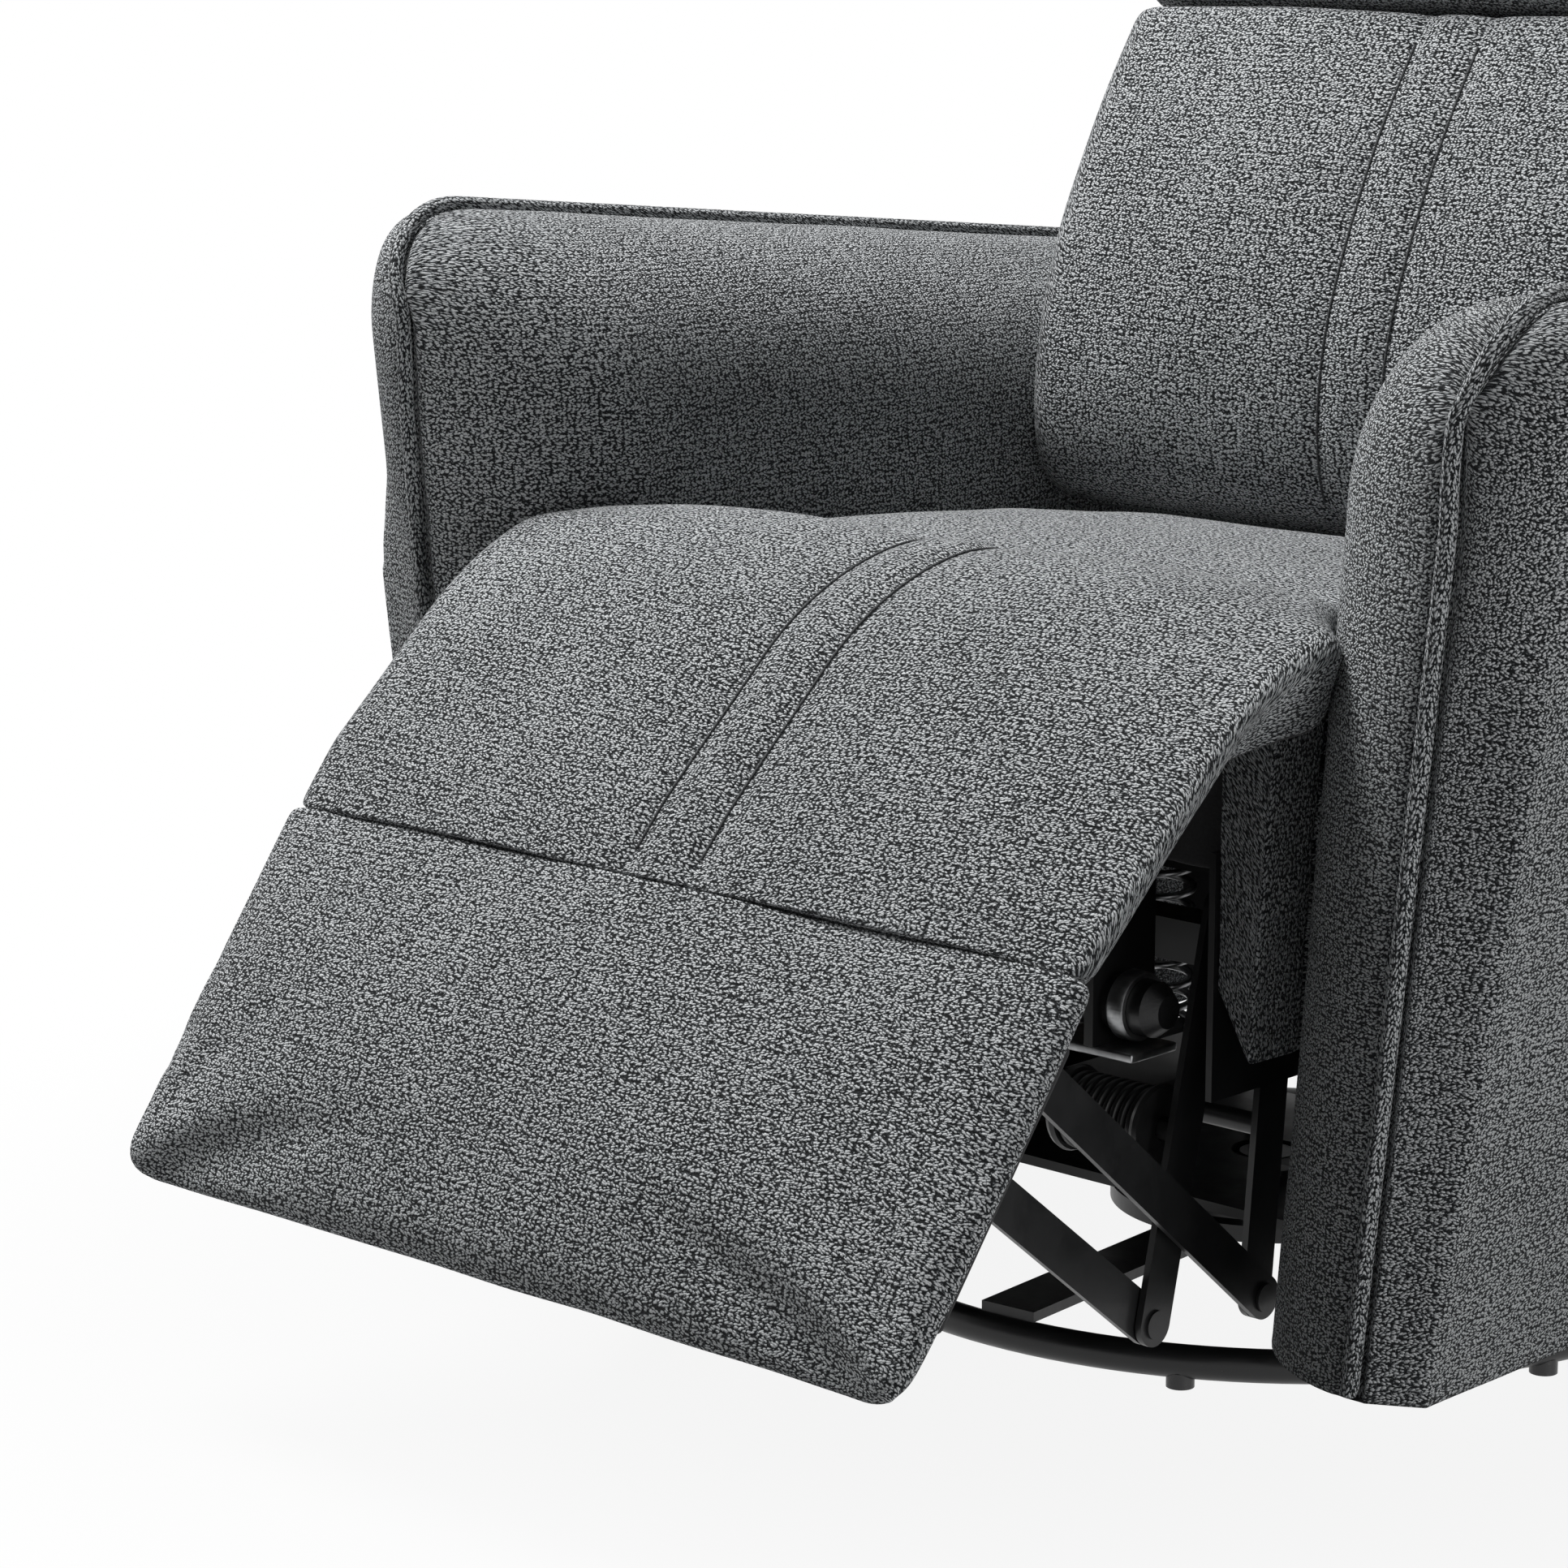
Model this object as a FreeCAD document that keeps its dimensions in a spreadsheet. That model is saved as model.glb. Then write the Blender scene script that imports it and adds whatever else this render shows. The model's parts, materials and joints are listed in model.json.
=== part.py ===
# Swivel rocker recliner: ring base, swivel bearing, sprung rocker, upholstered seat with arms,
# reclining back and a linkage footrest, drawn with the footrest part-way out.
# Frame: +Z up, the chair faces -Y, the origin is on the floor under the swivel axis.
# A "forward" size is a distance along -Y. Right is +X and left is -X.
import FreeCAD
import Part
import Sketcher
import math
import os
import re
from FreeCAD import Vector

SIZES = {
    # Swivel base
    "ring_radius": 270,
    "ring_tube": 9.5,
    "foot_drop": 5,
    "foot_radius": 8,
    "foot_wrap": 4,
    "base_turn": 5,
    "cross_width": 36,
    "cross_thickness": 6,
    "contact_gap": 0.2,
    "race_radius": 95,
    "race_thickness": 10,
    "race_gap": 4,
    "ball_radius": 5,
    "ball_circle": 72,
    "swivel_bolt_radius": 10,
    "swivel_nut_radius": 17,
    "swivel_nut_height": 5,
    "running_clearance": 0.05,
    # Rocker
    "deck_depth": 220,
    "deck_thickness": 6,
    "nut_room": 5,
    "rocker_rail_outer": 165,
    "rocker_rail_width": 25,
    "rocker_rail_height": 30,
    "rocker_rail_length": 320,
    "race_bolt_circle": 50,
    "race_bolt_radius": 4,
    "bolt_head_radius": 7,
    "bolt_head_height": 3,
    "rocker_height": 120,
    "rocker_pin_radius": 8,
    "rocker_head_radius": 13,
    "rocker_plate": 6,
    "bracket_half_depth": 32,
    "bracket_rise": 18,
    "plate_gap": 1,
    "yoke_top_half": 112,
    "yoke_foot_half": 26,
    "yoke_drop": 16,
    "spring_station": 95,
    "spring_radius": 13,
    "spring_wire": 2.5,
    # Steel frame under the seat
    "beam_bottom": 200,
    "beam_height": 25,
    "beam_depth": 30,
    "tube_end_room": 12,
    "side_plate_inner": "=tube_half_length + cap_rise + tube_end_room + 4 * layer_pitch",
    "side_plate_thickness": 4,
    "side_plate_front": 334,
    "side_plate_top": 332,
    "plate_bolt_radius": 4,
    "plate_bolt_inset": 14,
    # Wooden seat box and its steel
    "box_bottom": 222,
    "box_top": 372,
    "side_rail_front": 330,
    "side_rail_back": 190,
    "rail_gap": 0.3,
    "cross_rail_depth": 32,
    "cross_rail_bottom": 318,
    "front_rail_forward": 301,
    "rear_rail_back": 62,
    "seat_wire": 1.75,
    "zigzag_reach": 20,
    "zigzag_margin": 6,
    "wire_spacing": 84,
    "tube_ahead": 24,
    "tube_height": 240,
    "tube_radius": 15,
    "tube_half_length": 172,
    "tube_wall": 2,
    "cap_rise": 8,
    "cap_top_radius": 9,
    "cap_plug": 12,
    "hanger_station": 140,
    "hanger_thickness": 6,
    "hanger_depth": 30,
    "hanger_lip": 6,
    "hanger_drop": 21,
    # Footrest panel and its linkage
    "crease_forward": 527,
    "crease_height": 316,
    "panel_angle": 52.3,
    "panel_length": 225,
    "panel_overhang": 85,
    "panel_half_width": "=side_plate_inner + panel_overhang",
    "panel_pad": 60,
    "panel_crown": 12,
    "board_thickness": 15,
    "board_margin": 12,
    "board_inset": 56,
    "pole_forward": 452,
    "pole_height": 410,
    "rear_knee_forward": 278,
    "rear_knee_height": 80,
    "front_knee_forward": 358,
    "front_knee_height": 82,
    "rear_pin_along": 23,
    "front_pin_along": 80,
    "pin_depth": 93,
    "bar_half_width": 12,
    "bar_thickness": 4,
    "layer_pitch": 5,
    "link_pin_radius": 6,
    "open_pivot_clearance": 0.1,
    "pin_head_radius": 7.8,
    "pin_head": 1.6,
    "rod_radius": 6,
    "sync_rod_drop": 78,
    "tie_rod_drop": 119,
    "bracket_end": 17,
    "bracket_edge": 13,
    "flange_width": 22,
    "flange_thickness": 3,
    "flange_length": 24,
    # Soft seat
    "soft_gap": 0.4,
    "seat_front": 255,
    "seat_back": 86,
    "seat_lap": 20,
    "seat_half_width": "=arm_inner + seat_lap",
    "seat_front_top": 458,
    "seat_back_top": 424,
    "seat_crown": 12,
    "pad_top": 466,
    "pad_flat": 34,
    "pad_bend_radius": 200,
    "pad_bend_angle": 42,
    "pad_thickness": 55,
    "nose_gap": 3,
    "stitch_half": 23,
    "lobe_crown": 13,
    "band_rise": 2,
    "side_tuck": 8,
    "underside_inset": 46,
    "edge_bulge": 2,
    "pad_end_dip": 16,
    "foam_depth": 30,
    # Arms
    "arm_front": 357,
    "arm_back": 300,
    "arm_bottom": 71,
    "arm_top": 627,
    "arm_top_fall": 0.094,
    "arm_standoff": 14,
    "arm_inner": "=side_plate_inner + arm_standoff",
    "arm_inner_lean": 0.0745,
    "arm_width": 135,
    "arm_outer": "=arm_inner + arm_width",
    "arm_outer_lean": 0.157,
    "arm_flare": 14,
    "arm_seam_out": 100,
    "arm_seam": "=arm_inner + arm_seam_out",
    "arm_seam_lean": 0.11,
    "arm_roll": 122,
    "arm_shoulder": 50,
    "arm_nose": 77,
    "arm_strip": 17,
    "arm_corner": 65,
    "arm_edge": 8,
    # Back
    "hinge_behind": 50,
    "hinge_back": "=junction_back + hinge_behind",
    "hinge_below": 93,
    "hinge_height": "=junction_height - hinge_below",
    "hinge_pin_radius": 7,
    "hinge_plate_half": 27,
    "hinge_plate_rise": 30,
    "strap_room": 5,
    "strap_half": 20,
    "strap_end": 22,
    "back_angle": 18,
    "junction_back": 90,
    "junction_height": 428,
    "cushion_height": 318,
    "cushion_crown": 65,
    "cushion_crest": 130,
    "cushion_top_share": 0.45,
    "cushion_side_fall": 0.1,
    "cushion_lap": 31,
    "cushion_half_width": "=arm_inner + cushion_lap",
    "cushion_depth": 38,
    "pillow_gap": 3,
    "pillow_height": 288,
    "pillow_lap": 5,
    "pillow_half_width": "=cushion_half_width + pillow_lap",
    "pillow_crown": 74,
    "pillow_crest": 110,
    "pillow_side_fall": 0.4,
    "upright_width": 29,
    "upright_depth": 45,
    "upright_down": 92,
    "upright_up": 575,
    "back_rail": 42,
    "shell_wall": 12,
    "shell_inset": 5,
    "shell_half_width": "=cushion_half_width - shell_inset",
    "shell_bottom": 20,
    "shell_top": 606,
    # Rear panel and release lever
    "rear_panel_wall": 12,
    "rear_panel_bottom": 92,
    "rear_panel_top": 296,
    "rear_panel_lap": 6,
    "lever_forward": 120,
    "lever_height": 300,
    "lever_shaft_radius": 7,
    "lever_bore_room": 1.5,
    "lever_half_width": 15,
    "lever_thickness": 10,
    "lever_reach": 112,
    "lever_fall": 55,
    "lever_standoff": 8,
}
FOOT_COUNT = 8
BALL_COUNT = 18
RACE_BOLTS = 4
SPRING_TURNS = 7
GAP_POINTS = 400
ZIGZAG_RUNS = 15
SEAT_WIRES = 5
RIGHT, LEFT = 1, -1
SIDES = (RIGHT, LEFT)

doc = FreeCAD.newDocument("Recliner")
sheet = doc.addObject("Spreadsheet::Sheet", "Sizes")
for row, alias in enumerate(SIZES, start=1):
    sheet.set(f"A{row}", alias)
    sheet.setAlias(f"B{row}", alias)
for row, entry in enumerate(SIZES.values(), start=1):
    sheet.set(f"B{row}", str(entry))
doc.recompute()

NODES = {}

# Heights of the stack on the floor, from the ring up
CROSS_Z = "(foot_drop + 2 * ring_tube + contact_gap)"
RACE_Z = f"({CROSS_Z} + cross_thickness)"
BALL_Z = f"({RACE_Z} + race_thickness + race_gap / 2)"
UPPER_Z = f"({RACE_Z} + race_thickness + race_gap)"
DECK_Z = f"({UPPER_Z} + race_thickness)"
DECK_TOP = f"({DECK_Z} + deck_thickness)"
RAIL_TOP = f"({DECK_TOP} + rocker_rail_height)"

# Distances from the centre plane
YOKE_X = "(rocker_rail_outer + rocker_plate + plate_gap)"
FRONT_BAR_X = "(side_plate_inner - 4 * layer_pitch)"
FRONT_LINK_X = "(side_plate_inner - 3 * layer_pitch)"
REAR_LINK_X = "(side_plate_inner - 2 * layer_pitch)"
REAR_BAR_X = "(side_plate_inner - layer_pitch)"
PLATE_OUTER = "(side_plate_inner + side_plate_thickness)"
RAIL_INNER = f"({PLATE_OUTER} + rail_gap)"
UPRIGHT_OUTER = "(side_plate_inner - strap_room)"
UPRIGHT_INNER = f"({UPRIGHT_OUTER} - upright_width)"
STRAP_X = f"({UPRIGHT_OUTER} + contact_gap)"
LEVER_X = "(arm_outer + arm_outer_lean * (lever_height - arm_bottom) + lever_standoff)"

# The side plates run back to the hinge plates
PLATE_LENGTH = "(side_plate_front + hinge_back - hinge_plate_half - plate_gap)"

# The soft seat lies on the seat wires
SEAT_UNDERSIDE = "(box_top + 2 * contact_gap + 2 * seat_wire)"
PAD_START = "(seat_front + soft_gap)"

# Depths in the back's own frame
BACK_FRONT = "(cushion_depth + soft_gap)"
SHELL_REAR = f"({BACK_FRONT} + upright_depth + contact_gap)"
HINGE_DEPTH = ("((hinge_back - junction_back) * cos(back_angle)"
               " - (hinge_height - junction_height) * sin(back_angle))")
HINGE_UP = ("((hinge_back - junction_back) * sin(back_angle)"
            " + (hinge_height - junction_height) * cos(back_angle))")


def panel_point(along):
    """Forward and height of a pin under the footrest panel."""
    forward = f"(crease_forward + {along} * cos(panel_angle) - pin_depth * sin(panel_angle))"
    height = f"(crease_height - {along} * sin(panel_angle) - pin_depth * cos(panel_angle))"
    return forward, height


# Each knee, panel pin and seat pivot make a parallelogram with the pole of the footrest's swing
REAR_KNEE = ("rear_knee_forward", "rear_knee_height")
FRONT_KNEE = ("front_knee_forward", "front_knee_height")
REAR_PIN = panel_point("rear_pin_along")
FRONT_PIN = panel_point("front_pin_along")


def seat_pivot(knee, pin):
    return f"(pole_forward + {knee[0]} - {pin[0]})", f"(pole_height + {knee[1]} - {pin[1]})"


REAR_PIVOT = seat_pivot(REAR_KNEE, REAR_PIN)
FRONT_PIVOT = seat_pivot(FRONT_KNEE, FRONT_PIN)
UNDER_BOARD = "(-(panel_pad + board_thickness))"
LEVER_HUB = ("lever_forward", "lever_height")
LEVER_TIP = ("(lever_forward + lever_reach)", "(lever_height - lever_fall)")
HINGE = ("(-hinge_back)", "hinge_height")
TUBE = ("(front_rail_forward + tube_ahead)", "tube_height")
ROCKER = ("0", "rocker_height")


def bound(text):
    """Put the sheet's name in front of each size named in an expression."""
    return re.sub(r"[a-z_]+", lambda word: f"Sizes.{word[0]}" if word[0] in SIZES else word[0], text)


def value(text):
    """The number that an expression of sizes gives."""
    return float(sheet.evalExpression(bound(text)))


def make(kind, name, **expressions):
    thing = doc.addObject(kind, name)
    for field, text in expressions.items():
        thing.setExpression(field, bound(text))
    return thing


def place(thing, x="0", y="0", z="0"):
    for axis, text in zip("xyz", (x, y, z)):
        thing.setExpression(f".Placement.Base.{axis}", bound(text))
    return thing


def turn(thing, axis, angle):
    thing.Placement.Rotation = FreeCAD.Rotation(axis, 1)
    thing.setExpression(".Placement.Rotation.Angle", bound(angle))
    return thing


def on_back(thing):
    """Set a part that is made in the back's own frame down on the chair: Y is depth, Z is height."""
    turn(thing, Vector(-1, 0, 0), "back_angle")
    return place(thing, "0", "junction_back", "junction_height")


def on_panel(thing):
    """Set a part made in the footrest's own frame down on the chair: -Y runs to the tip, Z is out."""
    turn(thing, Vector(1, 0, 0), "panel_angle")
    return place(thing, "0", "-crease_forward", "crease_height")


def node(name, thing):
    """Name a finished sub-part; the label names its file."""
    thing.Label = name
    NODES[name] = thing
    return thing


def side_name(name, side):
    return f"{name}_{'right' if side == RIGHT else 'left'}"


def low_x(side, inner, thickness):
    """The low X of a plate whose inner face is at a distance from the centre plane."""
    return inner if side == RIGHT else f"-({inner} + {thickness})"


def box(name, low, size):
    """A box from its low corner and its three lengths."""
    thing = make("Part::Box", name, Length=size[0], Width=size[1], Height=size[2])
    return place(thing, *low)


def rod_z(name, radius, bottom, height, x="0", y="0"):
    thing = make("Part::Cylinder", name, Radius=radius, Height=height)
    return place(thing, x, y, bottom)


def rod_x(name, at, radius, start, length):
    """A cylinder along +X at a point given as forward and height."""
    thing = make("Part::Cylinder", name, Radius=radius, Height=length)
    thing.Placement.Rotation = FreeCAD.Rotation(Vector(0, 1, 0), 90)
    return place(thing, start, f"-{at[0]}", at[1])


def span_x(name, side, at, radius, inner, outer):
    """A cylinder along X between two distances from the centre plane, on one side."""
    length = f"{outer} - {inner}"
    return rod_x(name, at, radius, low_x(side, inner, f"({length})"), length)


def cut(name, base, tool):
    thing = doc.addObject("Part::Cut", name)
    thing.Base = base
    thing.Tool = tool
    return thing


def fuse(name, pieces):
    thing = doc.addObject("Part::MultiFuse", name)
    thing.Shapes = pieces
    return thing


def group(name, pieces):
    """Separate solids that share one node."""
    thing = doc.addObject("Part::Compound", name)
    thing.Links = pieces
    return thing


def feature(name, shape):
    thing = doc.addObject("Part::Feature", name)
    thing.Shape = shape
    return thing


def flat_sketch(body, name, role):
    sketch = body.newObject("Sketcher::SketchObject", name)
    plane = next(item for item in body.Origin.OriginFeatures if item.Role == role)
    sketch.AttachmentSupport = [(plane, "")]
    sketch.MapMode = "FlatFace"
    return sketch


def hold(sketch, geometry, position, across, upward):
    """Fix a sketch point by its two coordinates from the sketch's origin."""
    for kind, text in (("DistanceX", across), ("DistanceY", upward)):
        number = value(text)
        if number >= 0:
            rule = Sketcher.Constraint(kind, -1, 1, geometry, position, number)
        else:
            rule = Sketcher.Constraint(kind, geometry, position, -1, 1, -number)
            text = f"-({text})"
        index = sketch.addConstraint(rule)
        sketch.setExpression(f"Constraints[{index}]", bound(text))


def size_rule(sketch, kind, geometry, text):
    index = sketch.addConstraint(Sketcher.Constraint(kind, geometry, value(text)))
    sketch.setExpression(f"Constraints[{index}]", bound(text))


def add_bore(sketch, across, upward, radius):
    centre = Vector(value(across), value(upward), 0)
    circle = sketch.addGeometry(Part.Circle(centre, Vector(0, 0, 1), value(radius)), False)
    hold(sketch, circle, 3, across, upward)
    size_rule(sketch, "Radius", circle, radius)


def pad(body, sketch, length):
    feature_pad = body.newObject("PartDesign::Pad", sketch.Name + "_pad")
    feature_pad.Profile = sketch
    feature_pad.setExpression("Length", bound(length))
    sketch.Visibility = False
    return body


def link_bar(name, x, thickness, half_width, ends, bores):
    """A round-ended flat bar across X between two points given as forward and height."""
    body = doc.addObject("PartDesign::Body", name)
    sketch = flat_sketch(body, f"{name}_outline", "YZ_Plane")
    texts = [(f"(-{end[0]})", end[1]) for end in ends]
    first, last = (Vector(value(across), value(upward), 0) for across, upward in texts)
    heading = math.atan2(last.y - first.y, last.x - first.x)
    radius = value(half_width)
    quarter = math.pi / 2
    normal = Vector(0, 0, 1)
    rim = Vector(-math.sin(heading), math.cos(heading), 0) * radius
    outline = (
        Part.ArcOfCircle(Part.Circle(first, normal, radius), heading + quarter, heading + 3 * quarter),
        Part.LineSegment(first - rim, last - rim),
        Part.ArcOfCircle(Part.Circle(last, normal, radius), heading - quarter, heading + quarter),
        Part.LineSegment(last + rim, first + rim),
    )
    sketch.addGeometry(list(outline), False)
    for index in range(4):
        sketch.addConstraint(Sketcher.Constraint("Tangent", index, 2, (index + 1) % 4, 1))
    sketch.addConstraint(Sketcher.Constraint("Equal", 0, 2))
    size_rule(sketch, "Radius", 0, half_width)
    for arc, (across, upward) in zip((0, 2), texts):
        hold(sketch, arc, 3, across, upward)
    for (across, upward), bore in zip(texts, bores):
        add_bore(sketch, across, upward, bore)
    return place(pad(body, sketch, thickness), x)


def prism(name, role, corners, length, bores=()):
    """A straight-sided plate padded from a sketch on one of the body's planes."""
    body = doc.addObject("PartDesign::Body", name)
    sketch = flat_sketch(body, f"{name}_outline", role)
    points = [Vector(value(across), value(upward), 0) for across, upward in corners]
    count = len(points)
    for index, point in enumerate(points):
        sketch.addGeometry(Part.LineSegment(point, points[(index + 1) % count]), False)
    for index, (across, upward) in enumerate(corners):
        sketch.addConstraint(Sketcher.Constraint("Coincident", index, 2, (index + 1) % count, 1))
        hold(sketch, index, 1, across, upward)
    for across, upward, radius in bores:
        add_bore(sketch, across, upward, radius)
    return pad(body, sketch, length)


def ring_of(count, radius, start):
    """X and Y expressions of points spaced evenly on a circle."""
    for index in range(count):
        angle = f"({start} + {index * 360 / count})"
        yield f"{radius} * sin({angle})", f"-{radius} * cos({angle})"


def base_ring_and_feet():
    ring = make("Part::Torus", "ring", Radius1="ring_radius", Radius2="ring_tube")
    node("base_ring", place(ring, z="foot_drop + ring_tube"))
    half_step = 180 / FOOT_COUNT
    feet = []
    for x, y in ring_of(FOOT_COUNT, "ring_radius", f"base_turn + {half_step}"):
        blank = rod_z("foot_blank", "foot_radius", "0", "foot_drop + foot_wrap", x, y)
        feet.append(cut("foot", blank, ring))
    node("base_feet", group("feet", feet))


def base_cross():
    long_bar = box("cross_bar", ("-ring_radius", "-cross_width / 2", "0"),
                   ("2 * ring_radius", "cross_width", "cross_thickness"))
    wide_bar = box("cross_bar", ("-cross_width / 2", "-ring_radius", "0"),
                   ("cross_width", "2 * ring_radius", "cross_thickness"))
    cross = fuse("cross", [long_bar, wide_bar])
    turn(cross, Vector(0, 0, 1), "base_turn")
    node("base_cross", place(cross, z=CROSS_Z))


def ball_track(name):
    track = make("Part::Torus", name, Radius1="ball_circle", Radius2="ball_radius + running_clearance")
    return place(track, z=BALL_Z)


def swivel_bearing():
    lower = rod_z("lower_disc", "race_radius", RACE_Z, "race_thickness")
    lower_bore = rod_z("lower_bore", "swivel_bolt_radius", RACE_Z, "race_thickness")
    node("lower_race", cut("lower_grooved", cut("lower_bored", lower, lower_bore), ball_track("lower_track")))

    balls = []
    for x, y in ring_of(BALL_COUNT, "ball_circle", "base_turn"):
        balls.append(place(make("Part::Sphere", "ball", Radius="ball_radius"), x, y, BALL_Z))
    node("bearing_balls", group("balls", balls))

    shank = rod_z("bolt_shank", "swivel_bolt_radius", RACE_Z,
                  "2 * race_thickness + race_gap + contact_gap + swivel_nut_height")
    nut = rod_z("bolt_nut", "swivel_nut_radius", f"{DECK_Z} + contact_gap", "swivel_nut_height")
    node("swivel_bolt", fuse("swivel_bolt_whole", [shank, nut]))

    upper = rod_z("upper_disc", "race_radius", UPPER_Z, "race_thickness")
    upper_bore = rod_z("upper_bore", "swivel_bolt_radius + running_clearance", UPPER_Z, "race_thickness")
    upper = cut("upper_grooved", cut("upper_bored", upper, upper_bore), ball_track("upper_track"))
    node("upper_race", cut("upper_drilled", upper, race_bolt_shanks("race_holes")))


def race_bolt_shanks(name):
    shanks = []
    for x, y in ring_of(RACE_BOLTS, "race_bolt_circle", "45"):
        shanks.append(rod_z("race_shank", "race_bolt_radius", UPPER_Z, "race_thickness + deck_thickness", x, y))
    return group(name, shanks)


def rocker_base():
    deck = box("deck", ("-rocker_rail_outer", "-deck_depth / 2", DECK_Z),
               ("2 * rocker_rail_outer", "deck_depth", "deck_thickness"))
    rails = []
    for side in SIDES:
        rail_low = low_x(side, "(rocker_rail_outer - rocker_rail_width)", "rocker_rail_width")
        rails.append(box("rocker_rail", (rail_low, "-rocker_rail_length / 2", DECK_Z),
                         ("rocker_rail_width", "rocker_rail_length", "deck_thickness + rocker_rail_height")))
    welded = fuse("rocker_base_welded", [deck, *rails])
    hole = rod_z("deck_hole", "swivel_nut_radius + nut_room", DECK_Z, "deck_thickness")
    drilled = cut("rocker_base_holed", welded, hole)
    node("rocker_base", cut("rocker_base_drilled", drilled, race_bolt_shanks("deck_holes")))

    bolts = []
    for x, y in ring_of(RACE_BOLTS, "race_bolt_circle", "45"):
        shank = rod_z("race_bolt_shank", "race_bolt_radius", UPPER_Z, "race_thickness + deck_thickness", x, y)
        head = rod_z("race_bolt_head", "bolt_head_radius", DECK_TOP, "bolt_head_height", x, y)
        bolts.append(fuse("race_bolt", [shank, head]))
    node("race_bolts", group("race_bolt_set", bolts))


def rocker_brackets():
    plates = []
    for side in SIDES:
        low = (low_x(side, "rocker_rail_outer", "rocker_plate"), "-bracket_half_depth", DECK_Z)
        plate = box("bracket_plate", low, ("rocker_plate", "2 * bracket_half_depth",
                                           f"rocker_height + bracket_rise - {DECK_Z}"))
        bore = span_x("bracket_bore", side, ROCKER, "rocker_pin_radius + running_clearance",
                      "rocker_rail_outer", "(rocker_rail_outer + rocker_plate)")
        plates.append(cut("rocker_bracket", plate, bore))
    node("rocker_brackets", group("rocker_bracket_pair", plates))


def half_turns(centre, radius, rise, count):
    """Arcs of half a turn each that climb steadily and meet with level tangents."""
    arcs = []
    for index in range(count):
        reach = radius if index % 2 == 0 else -radius
        start = centre + Vector(reach, 0, rise * index)
        end = centre + Vector(-reach, 0, rise * (index + 1))
        crest = (start + end) / 2 + Vector(0, math.copysign((end - start).Length / 2, reach), 0)
        arcs.append(Part.Arc(start, crest, end).toShape())
    return arcs


def self_gap(path, wire, apart):
    """The least gap between stretches of a wound wire that lie at least a length apart along it."""
    points = path.discretize(Number=GAP_POINTS)
    skip = math.ceil(apart / path.Length * (GAP_POINTS - 1))
    nearest = min((points[later] - point).Length
                  for index, point in enumerate(points) for later in range(index + skip, GAP_POINTS))
    return nearest - 2 * wire


def coil(centre, radius, wire, height, turns):
    """A coil spring of one round wire, standing on a point."""
    rise = (height - 2 * wire) / (2 * turns)
    path = Part.Wire(half_turns(centre + Vector(0, 0, wire), radius, rise, 2 * turns))
    start = centre + Vector(radius, 0, wire)
    section = Part.Wire(Part.Circle(start, Vector(0, 1, 0), wire).toShape())
    print("coil, least gap to itself", round(self_gap(path, wire, math.pi * radius), 2), "mm")
    return path.makePipeShell([section], True, False)


def rocker_springs():
    bottom = value(RAIL_TOP) + value("contact_gap")
    height = value("beam_bottom") - value("contact_gap") - bottom
    station = value("spring_station")
    across = value("rocker_rail_outer - rocker_rail_width / 2")
    springs = []
    for side in SIDES:
        for along in (station, -station):
            foot = Vector(side * across, along, bottom)
            springs.append(coil(foot, value("spring_radius"), value("spring_wire"), height, SPRING_TURNS))
    node("rocker_springs", feature("spring_set", Part.makeCompound(springs)))


def rocker_yokes():
    pins = []
    for side in SIDES:
        foot_z = "(rocker_height - yoke_drop)"
        corners = (("(-yoke_foot_half)", foot_z), ("yoke_foot_half", foot_z),
                   ("yoke_top_half", "beam_bottom"), ("(-yoke_top_half)", "beam_bottom"))
        yoke = prism(side_name("yoke", side), "YZ_Plane", corners, "rocker_plate",
                     [(*ROCKER, "rocker_pin_radius")])
        node(side_name("rocker_yoke", side), place(yoke, low_x(side, YOKE_X, "rocker_plate")))
        yoke_outer = f"({YOKE_X} + rocker_plate)"
        clip_outer = "(rocker_rail_outer - contact_gap)"
        clip_inner = "(rocker_rail_outer - contact_gap - bolt_head_height)"
        shaft = span_x("rocker_shaft", side, ROCKER, "rocker_pin_radius", clip_inner, yoke_outer)
        head = span_x("rocker_head", side, ROCKER, "rocker_head_radius",
                      yoke_outer, f"({yoke_outer} + bolt_head_height)")
        clip = span_x("rocker_clip", side, ROCKER, "rocker_head_radius", clip_inner, clip_outer)
        pins.append(fuse("rocker_pin", [shaft, head, clip]))
    node("rocker_pins", group("rocker_pin_pair", pins))


def cross_beams():
    for name, station in (("cross_beam_front", "-spring_station"), ("cross_beam_rear", "spring_station")):
        reach = "(side_plate_inner - contact_gap)"
        node(name, box(name, (f"-{reach}", f"{station} - beam_depth / 2", "beam_bottom"),
                       (f"2 * {reach}", "beam_depth", "beam_height")))


def plate_bolt_points():
    top = "(side_plate_top - plate_bolt_inset)"
    length = f"({PLATE_LENGTH} - 2 * plate_bolt_inset)"
    shares = (0.2, 0.45, 0.72, 1)
    return [(f"(side_plate_front - plate_bolt_inset - {length} * {share})", top) for share in shares]


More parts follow.
